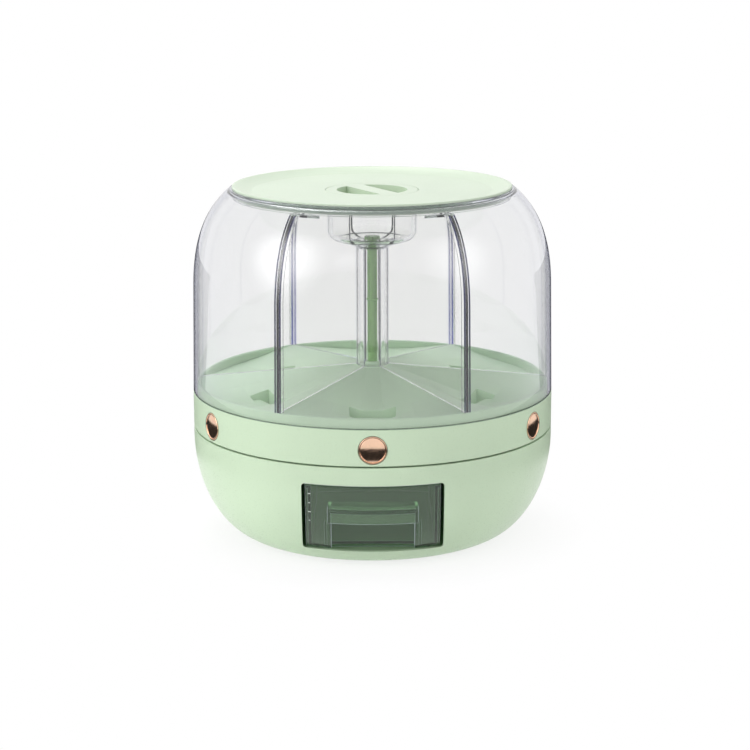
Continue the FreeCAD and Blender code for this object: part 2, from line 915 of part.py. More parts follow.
def clear_dome():
    """The clear bell with its neck, hanging lip and the paired ribs that guide the divider's leaves."""
    outer = dome_solid(0, dome_bottom)
    inner = dome_solid(dome_wall, dome_bottom - cut_margin)
    wall = outer.cut(inner)
    lip = tube(neck_bore_radius, neck_bore_radius + neck_lip_wall, neck_lip_bottom, neck_top)
    closing = tube(neck_bore_radius, neck_radius - dome_wall / 2, neck_top - dome_wall, neck_top)
    guide_band = dome_solid(dome_wall / 2, rim_top + 1)
    guide_core = dome_solid(dome_wall + guide_rib_depth, rim_top - cut_margin)
    guide_band = guide_band.cut(guide_core).cut(disc(neck_bore_radius, dome_bottom, neck_top + cut_margin))
    slot_half = leaf_thickness / 2 + guide_rib_gap
    ribs = []
    for side in (-1, 1):
        x0, x1 = sorted((side * slot_half, side * (slot_half + guide_rib_width)))
        slab = block(x0, x1, body_radius / 2, body_radius, rim_top, neck_lip_bottom)
        rib = slab.common(guide_band)
        ribs += around(rib, sector_count, leaf_angle)
    neck_hole = disc(neck_bore_radius, neck_lip_bottom - 1, neck_top + 1)
    return joined([wall, lip, closing] + ribs).cut(neck_hole)


def leaf_plate():
    """One leaf of the divider, standing in the plane of the front sector's middle."""
    inset = dome_wall + leaf_clearance
    edge, first, last = curve_edge(shoulder_curve, inset)
    top = dish_bottom - leaf_top_gap
    column = column_radius - column_wall / 2
    foot_radius = dome_foot_radius - inset
    foot_z = ridge_height(foot_radius) + leaf_lift
    inner_z = ridge_height(column) + leaf_lift
    edges = [edge, line(last, (foot_radius, foot_z)), line((foot_radius, foot_z), (column, inner_z))]
    high = first[1]
    edges += [line((column, inner_z), (column, high)), line((column, high), first)]
    face = Part.Face(Part.Wire(edges))
    plate = face.extrude(V(0, leaf_thickness, 0))
    plate.translate(V(0, -leaf_thickness / 2, 0))
    plate.rotate(ORIGIN, UP, -90)
    neck_inner = neck_bore_radius - lid_skirt_gap - lid_skirt_wall - neck_keep_out
    tools = [disc(body_radius, top, neck_top + cut_margin)]
    tools.append(tube(neck_inner, body_radius, neck_lip_bottom - running_gap, neck_top + cut_margin))
    tools.append(disc(cap_hole_radius + cap_seat_width + 1, well_top(), neck_top + cut_margin))
    return cut_all(plate, tools)


def well_top():
    return dish_top - cap_seat_drop - cap_seat_height - bayonet_gap - bayonet_height - running_gap - 0.6


def gusset():
    """A flat web between one leaf and the space under the neck."""
    reach = neck_bore_radius + neck_lip_wall
    half = leaf_thickness / 2 - 0.1
    low = neck_lip_bottom - running_gap - gusset_thickness
    corners = [V(half, -reach, low), V(half, -(reach - gusset_along), low),
               V(half + gusset_across, -(reach - 2.6), low)]
    return Part.Face(polygon(corners)).extrude(V(0, 0, gusset_thickness))


def compartment_divider():
    """Six leaves round a hollow column that opens into a well for a bag of drying agent."""
    corner_z = dish_bottom - leaf_top_gap - well_corner_height - 4
    low_z = corner_z - well_corner
    floor_z = low_z - well_floor_slope
    swing = well_corner * math.sqrt(0.5)
    flat = well_radius - well_corner
    outer_bend = (flat + swing, corner_z - swing)
    wall = well_wall
    inner_corner = well_corner - wall
    inner_swing = inner_corner * math.sqrt(0.5)
    inner_bend = (flat + inner_swing, corner_z - inner_swing)
    top = well_top()
    column_foot = ridge_top
    inner_floor = floor_z + well_floor_thickness
    edges = [
        line((well_radius, top), (well_radius, corner_z)),
        arc((well_radius, corner_z), outer_bend, (flat, low_z)),
        line((flat, low_z), (well_floor_radius, floor_z)),
        line((well_floor_radius, floor_z), (column_radius, floor_z - column_wall)),
        line((column_radius, floor_z - column_wall), (column_radius, column_foot)),
        line((column_radius, column_foot), (column_radius - column_wall, column_foot)),
        line((column_radius - column_wall, column_foot), (column_radius - column_wall, floor_z)),
        line((column_radius - column_wall, floor_z), (0, floor_z)),
        line((0, floor_z), (0, inner_floor)),
        line((0, inner_floor), (well_floor_radius, inner_floor)),
        line((well_floor_radius, inner_floor), (flat, low_z + wall)),
        arc((flat, low_z + wall), inner_bend, (well_radius - wall, corner_z)),
        line((well_radius - wall, corner_z), (well_radius - wall, top)),
        line((well_radius - wall, top), (well_radius, top)),
    ]
    core = spun_edges(edges)
    hollow = path([(well_radius - wall, corner_z), (well_radius - wall, neck_top), (0, neck_top),
                   (0, inner_floor), (well_floor_radius, inner_floor), (flat, low_z + wall)])
    hollow.append(arc((flat, low_z + wall), inner_bend, (well_radius - wall, corner_z)))
    inside = [spun_edges(hollow)]
    inside.append(disc(column_radius - column_wall, column_foot - cut_margin, floor_z))
    leaves = [cut_all(leaf, inside) for leaf in around(leaf_plate(), sector_count, leaf_angle)]
    web = gusset()
    mirrored = web.mirror(ORIGIN, V(1, 0, 0))
    webs = []
    for k in range(0, sector_count, 2):
        webs.append(turned(web, 360.0 * k / sector_count - leaf_angle))
        webs.append(turned(mirrored, 360.0 * k / sector_count + leaf_angle))
    hole = disc(tie_screw_radius + screw_clearance, floor_z - 1, inner_floor + 1)
    return joined([core] + leaves + webs).cut(hole)


def well_floor():
    corner_z = dish_bottom - leaf_top_gap - well_corner_height - 4
    return corner_z - well_corner - well_floor_slope


def tie_rod():
    """A ribbed rod with a cross section, round ends and a thin collar."""
    low = ridge_top - rod_socket_depth
    high = well_floor()
    core = disc(rod_core_radius, low, high)
    half = rod_web / 2
    webs = [block(-rod_radius, rod_radius, -half, half, low, high),
            block(-half, half, -rod_radius, rod_radius, low, high)]
    round_stock = disc(rod_radius, low, high)
    cross = joined([core] + [w.common(round_stock) for w in webs])
    foot = disc(rod_radius, low, low + rod_end_length)
    head = disc(rod_radius, high - rod_end_length, high)
    collar_low = ridge_top + rod_collar_height
    collar = disc(rod_collar_radius, collar_low, collar_low + rod_collar_thickness)
    body = joined([cross, foot, head, collar])
    tools = [disc(tie_screw_radius + thread_fit, high - tie_screw_length, high + 1)]
    tools.append(disc(screw_shank_radius + thread_fit, low - 1, low + rod_end_length - 4))
    return cut_all(body, tools)


def rod_screw():
    seat = ridge_top - tray_crown
    return pan_screw(0, 0, seat, ridge_top - rod_socket_depth + 9, screw_shank_radius,
                     screw_head_radius, screw_head_height)


def tie_knob():
    """The fluted thumb screw that clamps the divider down on the rod."""
    seat = well_floor() + well_floor_thickness
    head = disc(tie_knob_radius, seat, seat + tie_knob_height)
    top_edge = [e for e in head.Edges if e.BoundBox.ZMin > seat + tie_knob_height - 0.01]
    head = head.makeChamfer(edge_break, top_edge)
    flute = post(tie_knob_flute_radius, seat - 1, seat + tie_knob_height + 1, 0, -tie_knob_radius - 0.3)
    head = cut_all(head, around(flute, tie_knob_flutes))
    shank = disc(tie_screw_radius, seat - well_floor_thickness - tie_screw_length + 1, seat + 1)
    return head.fuse(shank).removeSplitter()


# Buttons and gates

def button_cap():
    """The push button, a shell with a rim and a crowned face, drawn on its own axis and laid outwards."""
    face = body_radius + button_proud
    ring_in = button_radius - button_rim
    back = face - button_depth
    crown_face = face + button_crown - button_proud
    inside = button_radius - button_wall
    stub = stud_radius + slip_fit
    under = face - button_wall - 0.6
    half_ring = ring_in / 2
    drop = button_crown * 0.25
    edges = [
        arc((0, crown_face), (half_ring, crown_face - drop), (ring_in - 0.4, crown_face - button_crown)),
        line((ring_in - 0.4, crown_face - button_crown), (ring_in, face - 0.6)),
        line((ring_in, face - 0.6), (ring_in + 0.3, face)),
        line((ring_in + 0.3, face), (button_radius - 0.3, face)),
        line((button_radius - 0.3, face), (button_radius, face - 0.3)),
        line((button_radius, face - 0.3), (button_radius, back)),
        line((button_radius, back), (inside, back)),
        line((inside, back), (inside, under)),
        line((inside, under), (stub + button_wall, under)),
        line((stub + button_wall, under), (stub + button_wall, back + 1)),
        line((stub + button_wall, back + 1), (stub, back + 1)),
        line((stub, back + 1), (stub, under)),
        line((stub, under), (0, under)),
        line((0, under), (0, crown_face)),
    ]
    cap = spun_edges(edges)
    cap.rotate(ORIGIN, V(1, 0, 0), 90)
    cap.translate(V(0, 0, button_z))
    return cap


def gate():
    """The sliding shutter: a plate with a window, the upright that the button pushes and the spring end."""
    half = gate_half_width
    plate = block(-half, half, gate_inner, gate_outer, gate_bottom, gate_top)
    upright = block(-upright_half_width, upright_half_width, gate_outer - gate_web, gate_outer,
                    gate_top - 1, gate_bottom + upright_height)
    under = body_radius + button_proud - button_wall - 0.6
    stud = outward_bar(stud_radius, gate_outer - 1, under, button_z)
    lug = block(-spring_lug_half_width, spring_lug_half_width, gate_inner, gate_inner + gate_web,
                gate_top - 1, spring_z + spring_radius + 1)
    pin = outward_bar(spring_pin_radius, gate_inner - spring_pin_length, gate_inner + 1, spring_z)
    window_start = throat_inner + button_travel
    window = block(-throat_half_width, throat_half_width, window_start,
                   window_start + throat_outer - throat_inner, gate_bottom - 1, gate_top + 1)
    return joined([plate, upright, stud, lug, pin]).cut(window)


def tangent_arcs(start, start_way, end, end_way):
    """Two arcs that meet smoothly and lead from one point and direction to another."""
    chord = end - start
    ways = start_way + end_way
    a = 2 * (start_way.dot(end_way) - 1)
    b = -2 * chord.dot(ways)
    c = chord.dot(chord)
    reach = (-b - math.sqrt(b * b - 4 * a * c)) / (2 * a) if abs(a) > 1e-9 else -c / b
    corner_a = start + start_way * reach
    corner_b = end - end_way * reach
    middle = (corner_a + corner_b) * 0.5
    edges = []
    for first, corner, last in ((start, corner_a, middle), (middle, corner_b, end)):
        base = (first + last) * 0.5
        half = (last - first).Length / 2
        way = (corner - first).normalize()
        turn = math.acos(max(-1.0, min(1.0, way.dot((last - first).normalize()))))
        rise = (corner - base).normalize() * (half * math.tan(turn / 2))
        edges.append(Part.Arc(first, base + rise, last).toShape())
    return edges


def least_gap(edges, thickness, radius):
    """The least gap of a wound wire to itself, measured between points that lie over half a turn apart."""
    points = []
    for edge in edges:
        points += edge.discretize(9)[:-1]
    step = edges[1].Length / 8
    apart = int(math.pi * radius / step)
    gaps = [(a - b).Length for i, a in enumerate(points) for b in points[i + apart:]]
    return min(gaps) - thickness


def return_spring():
    """A wound compression spring between its post on the valve plate and the gate, in front position."""
    wire = spring_wire_radius
    radius = spring_radius - wire
    low = spring_post + wire + spring_clear
    high = gate_inner - wire - spring_clear
    pitch = (high - low) / spring_turns
    steps = 4 * spring_turns

    def place(angle):
        s = low + pitch * angle / (2 * math.pi)
        return V(radius * math.cos(angle), -s, spring_z + radius * math.sin(angle))

    def way(angle):
        return V(-radius * math.sin(angle), -pitch / (2 * math.pi), radius * math.cos(angle)).normalize()

    edges = []
    angles = [math.pi / 2 * k for k in range(steps + 1)]
    first, last = place(angles[0]), place(angles[-1])
    lead = 2 * wire
    edges.append(Part.makeLine(first - way(angles[0]) * lead, first))
    for a, b in zip(angles, angles[1:]):
        edges += tangent_arcs(place(a), way(a), place(b), way(b))
    edges.append(Part.makeLine(last, last + way(angles[-1]) * lead))
    start = first - way(angles[0]) * lead
    circle = Part.Wire(Part.makeCircle(wire, start, way(angles[0])))
    sweep = Part.BRepOffsetAPI.MakePipeShell(Part.Wire(edges))
    sweep.add(circle)
    sweep.build()
    sweep.makeSolid()
    print("least gap between spring turns, mm:", round(least_gap(edges, 2 * wire, radius), 2))
    return Part.Solid(sweep.shape())


# Lid and centre cap

def lid():
    """A shallow dished lid: flange on the dome's neck, skirt inside it, stepped hole for the cap."""
    skirt_out = neck_bore_radius - lid_skirt_gap
    skirt_in = skirt_out - lid_skirt_wall
    skirt_low = lid_flange_bottom - lid_skirt_height
    seat_top = dish_top - cap_seat_drop
    seat_low = seat_top - cap_seat_height
    seat_in = cap_hole_radius - cap_seat_width
    seat_out = cap_hole_radius + cap_seat_width - 1
    seal_low = skirt_low + lid_seal_lift
    seal_high = seal_low + lid_seal_height
    groove = skirt_out - lid_seal_depth
    brk = edge_break
    rim_in = lid_radius - lid_rim_width
    sag = lid_dish_depth * 0.62
    edges = [
        line((cap_hole_radius, dish_top), (lid_dish_radius, dish_top)),
        arc((lid_dish_radius, dish_top), ((lid_dish_radius + rim_in) / 2, lid_top - sag),
            (rim_in, lid_top)),
        line((rim_in, lid_top), (lid_radius - brk, lid_top)),
        arc((lid_radius - brk, lid_top), (lid_radius - brk * 0.29, lid_top - brk * 0.29),
            (lid_radius, lid_top - brk)),
        line((lid_radius, lid_top - brk), (lid_radius, lid_flange_bottom)),
        line((lid_radius, lid_flange_bottom), (skirt_out, lid_flange_bottom)),
        line((skirt_out, lid_flange_bottom), (skirt_out, seal_high)),
        line((skirt_out, seal_high), (groove, seal_high)),
        line((groove, seal_high), (groove, seal_low)),
        line((groove, seal_low), (skirt_out, seal_low)),
        line((skirt_out, seal_low), (skirt_out, skirt_low)),
        line((skirt_out, skirt_low), (skirt_in, skirt_low)),
        line((skirt_in, skirt_low), (skirt_in, lid_flange_bottom - lid_flange / 2)),
        line((skirt_in, lid_flange_bottom - lid_flange / 2), (lid_dish_radius - 1, dish_bottom)),
        line((lid_dish_radius - 1, dish_bottom), (seat_out, dish_bottom)),
        line((seat_out, dish_bottom), (seat_out, seat_low)),
        line((seat_out, seat_low), (seat_in, seat_low)),
        line((seat_in, seat_low), (seat_in, seat_top)),
        line((seat_in, seat_top), (cap_hole_radius, seat_top)),
        line((cap_hole_radius, seat_top), (cap_hole_radius, dish_top)),
    ]
    body = spun_edges(edges)
    notch_span = bayonet_span + 6
    notch = sector_ring(seat_in - 1, cap_skirt_radius + bayonet_reach + running_gap, notch_span,
                        seat_low - 1, seat_top + 1)
    return cut_all(body, around(notch, bayonet_count, cap_turn))


def sector_ring(inner, outer, span, low, high):
    """A piece of a ring that is centred on the front direction."""
    ring = tube(inner, outer, low, high)
    wedge_reach = 3 * outer
    x, y = polar(wedge_reach, span / 2)
    corners = [V(0, 0, low - 1), V(x, y, low - 1), V(-x, y, low - 1)]
    wedge = Part.Face(polygon(corners)).extrude(V(0, 0, high - low + 2))
    return ring.common(wedge)


def lid_seal():
    skirt_out = neck_bore_radius - lid_skirt_gap
    low = lid_flange_bottom - lid_skirt_height + lid_seal_lift
    return tube(skirt_out - lid_seal_depth, neck_bore_radius - lid_seal_gap, low, low + lid_seal_height)


def lid_cap():
    """The round cap with its sunken two-pocket grip, skirt and bayonet lugs."""
    flange_low = dish_top - cap_flange
    skirt_low = flange_low - cap_skirt_height
    tub_out = grip_radius + grip_wall
    pocket_floor = dish_top - grip_depth
    flange = disc(cap_radius, flange_low, dish_top)
    top_edge = [e for e in flange.Edges if e.BoundBox.ZMin > dish_top - 0.01]
    flange = flange.makeChamfer(0.3, top_edge)
    tub = disc(tub_out, pocket_floor - grip_wall, flange_low + 0.5)
    skirt = tube(cap_skirt_radius - cap_skirt_wall, cap_skirt_radius, skirt_low, flange_low + 0.5)
    seat_low = dish_top - cap_seat_drop - cap_seat_height
    lug_high = seat_low - bayonet_gap
    lug = sector_ring(cap_skirt_radius - 0.5, cap_skirt_radius + bayonet_reach, bayonet_span,
                      lug_high - bayonet_height, lug_high)
    body = joined([flange, tub, skirt] + around(lug, bayonet_count))
    bar_half = grip_bar_half_width
    long = grip_radius + cut_margin
    bar = block(-bar_half, bar_half, -long, long, pocket_floor - 1, dish_top + 1)
    pockets = disc(grip_radius, pocket_floor, dish_top + 1).cut(bar)
    hollow_half = bar_half - grip_wall
    reach = grip_radius - grip_wall
    hollow = block(-hollow_half, hollow_half, -reach, reach, pocket_floor - grip_wall - 1,
                   dish_top - grip_wall)
    return turned(cut_all(body, [pockets, hollow]), grip_bar_angle)


def cap_seal():
    high = dish_top - cap_flange
    outer = cap_hole_radius - running_gap - 0.5
    return tube(outer - cap_seal_width, outer, high - cap_seal_height, high)


# Drawer

def front_solid(inset):
    return bowl_solid(inset, base_top)


def hood_solid(inset):
    """The pull's outline turned about the axis: a slope down to a crease, then a face down to the lip."""
    lip_z = opening_sill + hood_lip_height
    top_z = opening_sill + hood_top_height
    crease_z = opening_sill + hood_crease_height
    flush = curve_radius(bowl_curve, front_recess, top_z)
    crease = curve_radius(bowl_curve, front_recess, crease_z) + hood_crease_proud
    lip = curve_radius(bowl_curve, front_recess, lip_z) + hood_lip_proud
    return spun([
        (0, lip_z),
        (lip - inset, lip_z),
        (crease - inset, crease_z - inset / 2),
        (flush - inset, top_z - inset),
        (0, top_z - inset),
    ])


def drawer_bin():
    """The clear measuring drawer: a tub with a bowed front, and a finger niche under a hooded lip."""
    half = opening_half_width - drawer_side_gap
    low = opening_sill + drawer_end_gap
    high = opening_top - drawer_end_gap
    back = bin_tail_gap - housing_tail
    panel = front_solid(front_recess).cut(front_solid(front_recess + front_wall))
    panel = panel.common(block(-half, half, body_radius / 2, body_radius, low, high))
    inner_front = front_solid(front_recess + front_wall / 2)
    tub = block(-bin_half_width, bin_half_width, back, body_radius, bin_bottom, bin_top)
    rim_half = bin_half_width + bin_rim_width
    rim = block(-rim_half, rim_half, back, body_radius, bin_top - bin_rim_height, bin_top)
    runners = [block(x - runner_width / 2, x + runner_width / 2, back, body_radius,
                     opening_sill + running_gap, bin_bottom + 1) for x in (-runner_offset, runner_offset)]
    outer = joined([tub, rim] + runners).common(inner_front)
    cavity = block(-bin_half_width + bin_wall, bin_half_width - bin_wall, back + bin_wall,
                   body_radius, bin_bottom + bin_wall, bin_top + 1)
    cavity = cavity.common(front_solid(front_recess + front_wall))
    shell = outer.cut(cavity)
    lip_z = opening_sill + hood_lip_height
    niche_top = opening_sill + niche_height
    niche_back = throat_outer + niche_back_gap
    wide = niche_half_width + niche_wall
    niche_outer = block(-wide, wide, niche_back - bin_wall, body_radius, low, niche_top + bin_wall)
    niche_outer = niche_outer.common(front_solid(front_recess))
    hood = hood_solid(0).common(block(-wide, wide, niche_back, body_radius + cut_margin,
                                      lip_z - 1, opening_sill + hood_top_height + 1))
    hood = hood.cut(front_solid(front_recess + front_wall))
    frame_half = mouth_frame_half_width
    frame = block(-frame_half, frame_half, niche_back, body_radius, low, lip_z)
    frame = frame.common(front_solid(front_recess)).cut(front_solid(front_recess + mouth_frame_depth))
    body = joined([panel, shell, niche_outer, hood, frame])
    mouth = block(-niche_half_width, niche_half_width, niche_back, body_radius + cut_margin,
                  low - 1, lip_z)
    upper = block(-niche_half_width, niche_half_width, niche_back, body_radius + cut_margin,
                  lip_z - 1, niche_top)
    upper = upper.common(hood_solid(hood_wall))
    return cut_all(body, [mouth, upper])


# Every node, as it is written out

def build_nodes():
    nodes = {
        "base_shell": base_shell(),
        "rubber_feet": rubber_feet(),
        "drawer_housing": drawer_housing(),
        "housing_screws": housing_screws(),
        "turntable_deck": turntable_deck(),
        "deck_screws": deck_screws(),
        "drop_chute": drop_chute(),
        "spindle": spindle(),
        "spindle_screws": spindle_screws(),
        "axle_washer": axle_washer(),
        "axle_screw": axle_screw(),
        "race_balls": race_balls(),
        "ball_cage": ball_cage(),
        "valve_plate": valve_plate(),
        "hub_bush": hub_bush(),
        "collar_ring": collar_ring(),
        "carousel_screws": carousel_screws(),
        "hopper_tray": hopper_tray(),
        "dome_seal": dome_seal(),
        "clear_dome": clear_dome(),
        "compartment_divider": compartment_divider(),
        "tie_rod": tie_rod(),
        "rod_screw": rod_screw(),
        "tie_knob": tie_knob(),
        "lid": lid(),
        "lid_seal": lid_seal(),
        "lid_cap": lid_cap(),
        "cap_seal": cap_seal(),
        "drawer": drawer_bin(),
    }
    repeated = {"button_cap": button_cap(), "gate": gate(), "return_spring": return_spring()}
    for name, shape in repeated.items():
        for k in range(sector_count):
            nodes[f"{name}_{k + 1}"] = turned(shape, 360.0 * k / sector_count)
    return nodes


os.makedirs("parts", exist_ok=True)
for node, solid in build_nodes().items():
    print(node, "solids", len(solid.Solids), "valid", solid.isValid(), "volume", round(solid.Volume))
    solid.exportStep(f"parts/{node}.step")
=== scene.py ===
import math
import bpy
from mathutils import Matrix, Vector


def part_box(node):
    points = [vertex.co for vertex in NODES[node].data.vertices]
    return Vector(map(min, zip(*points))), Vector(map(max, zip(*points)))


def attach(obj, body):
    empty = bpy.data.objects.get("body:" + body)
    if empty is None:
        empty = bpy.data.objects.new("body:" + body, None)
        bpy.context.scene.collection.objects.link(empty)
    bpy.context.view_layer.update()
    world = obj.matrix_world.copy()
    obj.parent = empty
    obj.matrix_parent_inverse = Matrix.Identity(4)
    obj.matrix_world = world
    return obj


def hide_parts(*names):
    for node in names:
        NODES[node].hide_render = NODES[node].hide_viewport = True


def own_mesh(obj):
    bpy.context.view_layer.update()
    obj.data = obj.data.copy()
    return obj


bl_info = {
    "name": "Rotating Dry Food Dispenser",
    "version": (1, 0, 0),
    "blender": (4, 5, 0),
    "location": "View3D > Sidebar > Dispenser",
    "description": "Finishes a rotating dispenser: moulded plastic, clear dome and smoky drawer",
    "category": "Object",
}

import bmesh
import bpy
from bpy.props import FloatProperty, FloatVectorProperty, IntProperty, PointerProperty
from mathutils import Matrix, Vector

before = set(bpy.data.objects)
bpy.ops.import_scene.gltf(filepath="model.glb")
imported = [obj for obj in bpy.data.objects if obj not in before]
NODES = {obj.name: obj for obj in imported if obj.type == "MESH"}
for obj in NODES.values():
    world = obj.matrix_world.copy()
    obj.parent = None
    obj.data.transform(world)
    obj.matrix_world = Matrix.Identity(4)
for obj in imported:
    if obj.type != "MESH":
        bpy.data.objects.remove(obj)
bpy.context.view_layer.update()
SECTORS = 6
TURN = 2 * math.pi / SECTORS
MM = 0.001
CREASE = math.radians(30)
WELD = 1e-6
REACH_ERROR = 1e-4


# Properties

def length(name, description, default, **limits):
    """A length property; its default is given in millimetres."""
    return FloatProperty(name=name, description=description, default=default * MM, unit="LENGTH",
                         precision=5, **limits)


def colour(name, description, default):
    """A colour property, in linear red, green and blue."""
    return FloatVectorProperty(name=name, description=description, default=default, size=3,
                               subtype="COLOR", min=0, max=1)


def share(name, description, default, top=1.0):
    """A plain number property from 0 to the top."""
    return FloatProperty(name=name, description=description, default=default, min=0, max=top)


def degrees(name, description, default):
    """An angle property; its default is given in degrees."""
    return FloatProperty(name=name, description=description, default=math.radians(default), subtype="ANGLE")


def watts(name, description, default):
    """A lamp power property, in watts."""
    return FloatProperty(name=name, description=description, default=default, unit="POWER")


class DispenserSizes(bpy.types.PropertyGroup):
    """Sizes of the clear dome, the level marks and the return springs."""
    dome_wall: length("Dome wall", "Thickness of the clear dome", 3.0)
    dome_draft: length("Dome draft", "How much the straight wall leans in", 1.8)
    dome_straight: length("Straight wall", "Height of the dome's straight wall", 94.9)
    low_pull: length("Low pull", "How far the shoulder's curve follows the wall upwards", 38.3)
    low_pull_in: length("Low pull inwards", "How far that end of the curve leans in", 0.7)
    top_pull: length("Top pull", "Height of the curve's upper control point over the wall", 64.9)
    top_pull_in: length("Top pull inwards", "How far the upper control point stands in", 10.4)
    neck_radius: length("Neck radius", "Outer radius of the flat neck that carries the lid", 124.6)
    neck_bore: length("Neck bore", "Radius of the opening under the lid", 119.4)
    lip_wall: length("Lip wall", "Thickness of the neck's hanging lip", 2.5)
    lip_height: length("Lip height", "Height of the neck's hanging lip", 9.1)
    edge_round: length("Edge rounding", "Rounding of the dome's edges", 0.5)
    rib_slot: length("Rib slot", "Clear width between two guide ribs", 3.3)
    rib_width: length("Rib width", "Thickness of a guide rib inside the dome", 1.5)
    rib_depth: length("Rib depth", "How far a guide rib stands in from the wall", 4.0)
    rib_lift: length("Rib lift", "Height of a guide rib's foot over the dome's foot", 8.3)
    mark_length: length("Mark length", "Length of a level mark", 2.4)
    mark_width: length("Mark width", "Height of a level mark", 0.6)
    mark_step: length("Mark step", "Height between two level marks", 8.4)
    mark_inset: length("Mark inset", "From the drawer's side to the middle of a mark", 3.5)
    mark_drop: length("Mark drop", "From the drawer's top to the first mark", 8.8)
    mark_thickness: length("Mark thickness", "Thickness of a level mark, half of it sunk in", 0.2)
    mark_short: share("Short mark", "Length of every second mark beside the others", 0.65)
    mark_count: IntProperty(name="Mark count", description="Number of level marks", default=4, min=2, max=20)
    spring_wire: length("Spring wire", "Radius of the return springs' wire", 0.4)
    spring_turns: FloatProperty(name="Spring turns", description="Turns of a return spring", default=9.0,
                                min=3, max=20)
    spring_travel: length("Spring travel", "How much a button shortens its spring", 8.0)
    turned_steps: IntProperty(name="Turned steps", description="Sides of a turned piece", default=240,
                              min=24, max=720)


class DispenserColours(bpy.types.PropertyGroup):
    """Colours of the plastics, the metals and the studio."""
    mint: colour("Mint", "Base and collar", (0.600, 0.745, 0.545))
    pale_mint: colour("Pale mint", "Lid and cap", (0.620, 0.725, 0.575))
    tray_green: colour("Tray green", "Floors of the compartments", (0.600, 0.775, 0.555))
    # Shaded inner green is the mint darkened: painted shade on the pieces inside the base
    shaded_inner_green: colour("Inner green", "Pieces inside the base", (0.330, 0.460, 0.290))
    rod_green: colour("Rod green", "Tie rod and thumb screw", (0.220, 0.460, 0.125))
    clear_edge: colour("Clear edge", "Clear plastic seen along its face", (0.10, 0.11, 0.22))
    leaf_edge: colour("Leaf edge", "Clear leaves seen along their face", (0.82, 0.82, 0.96))
    # Leaf highlight and smoke highlight are painted highlights: pale lines along the rounded edges of the
    # clear pieces
    leaf_highlight: colour("Leaf line", "Rounded edges of the clear leaves", (0.74, 0.74, 0.94))
    smoke_highlight: colour("Smoke line", "Rounded edges of the drawer", (0.66, 0.72, 0.80))
    smoke: colour("Smoke", "Drawer plastic seen flat on", (0.53, 0.73, 0.52))
    smoke_edge: colour("Smoke edge", "Drawer plastic seen along its face", (0.56, 0.54, 0.78))
    copper: colour("Copper", "Coat of the push buttons", (0.900, 0.600, 0.430))
    nylon: colour("White nylon", "Gates, cage and bush", (0.78, 0.79, 0.77))
    zinc: colour("Zinc", "Screws", (0.56, 0.57, 0.58))
    steel: colour("Bright steel", "Balls and springs", (0.66, 0.66, 0.67))
    rubber: colour("Rubber", "Feet", (0.035, 0.038, 0.036))
    silicone: colour("Silicone", "Seals", (0.075, 0.165, 0.065))
    mark: colour("Mark", "Level marks on the drawer", (0.80, 0.86, 0.80))
    backdrop: colour("Backdrop", "Floor and background", (1.0, 1.0, 1.0))


class DispenserStudio(bpy.types.PropertyGroup):
    """Camera and lamps."""
    camera_distance: length("Camera distance", "From the axis along the floor", 1810.3)
    camera_height: length("Camera height", "Above the resting plane", 562.4)
    camera_drop: degrees("Camera drop", "Downward angle", 13.173)
    camera_aim: degrees("Camera aim", "Angle to the right of the axis", 0.071)
    camera_roll: degrees("Camera roll", "Roll of the picture", 0.149)
    lens: FloatProperty(name="Lens", description="Focal length for a 36 mm sensor, in millimetres",
                        default=99.56)
    ambient: share("Ambient", "Strength of the surrounding light", 0.50, 4.0)
    top_power: watts("Top power", "Large lamp above and behind", 27.0)
    left_power: watts("Left power", "Large lamp on the left", 29.0)
    right_power: watts("Right power", "Large lamp on the right", 12.0)
    front_power: watts("Front power", "Lamp in front that reflections don't show", 2.0)
    shadow_reach: length("Shadow reach", "How far from the base the floor darkens", 60)
    shadow_share: share("Shadow share", "How dark the floor is right under the base", 0.22)


# Shapes

def sizes():
    return bpy.context.scene.dispenser_sizes


def colours():
    return bpy.context.scene.dispenser_colours


def place(name, mesh, *materials):
    """A new object at the origin that shows the mesh."""
    mesh.name = name
    if list(mesh.materials) != list(materials):
        mesh.materials.clear()
        for material in materials:
            mesh.materials.append(material)
    piece = bpy.data.objects.new(name, mesh)
    bpy.context.scene.collection.objects.link(piece)
    return piece


def wire_mesh(points):
    """A closed ring of edges through the points in order, without faces."""
    mesh = bpy.data.meshes.new("outline")
    count = len(points)
    mesh.from_pydata(points, [(k, (k + 1) % count) for k in range(count)], [])
    return mesh


def rounded(corners, steps=5):
    """The closed outline with each corner (r, z, rounding) rounded off; a rounding of 0 leaves it sharp."""
    nearly_straight = math.radians(178)
    longest = 0.45
    points = []
    count = len(corners)
    for k, (r, z, size) in enumerate(corners):
        here = Vector((r, z))
        before = Vector(corners[k - 1][:2]) - here
        after = Vector(corners[(k + 1) % count][:2]) - here
        turn = before.angle(after)
        if size <= 0 or turn > nearly_straight:
            points.append(here)
            continue
        reach = min(size / math.tan(turn / 2), longest * before.length, longest * after.length)
        start = here + before.normalized() * reach
        end = here + after.normalized() * reach
        for step in range(steps + 1):
            u = step / steps
            points.append((1 - u) ** 2 * start + 2 * u * (1 - u) * here + u * u * end)
    return points


def outward(mesh):
    """Turns the faces of a closed mesh outwards."""
    volume = 0.0
    for face in mesh.polygons:
        corners = [mesh.vertices[v].co for v in face.vertices]
        for a, b in zip(corners[1:], corners[2:]):
            volume += corners[0].dot(a.cross(b))
    if volume < 0:
        mesh.flip_normals()


def smooth(mesh, angle):
    """Smooth shading with sharp edges where the surface turns by more than the angle."""
    for face in mesh.polygons:
        face.use_smooth = True
    mesh.set_sharp_from_angle(angle=angle)


def dress(node, material):
    """Gives a CAD node its finish."""
    mesh = NODES[node].data
    mesh.materials.clear()
    mesh.materials.append(material)


def stand_for(node, mesh, body, slot, *materials):
    """Shows the mesh as a piece in the place of a CAD node, carried by a body."""
    piece = place(node + "_finished", mesh, *materials)
    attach(piece, body)
    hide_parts(node)
    return piece


# Node trees that make geometry

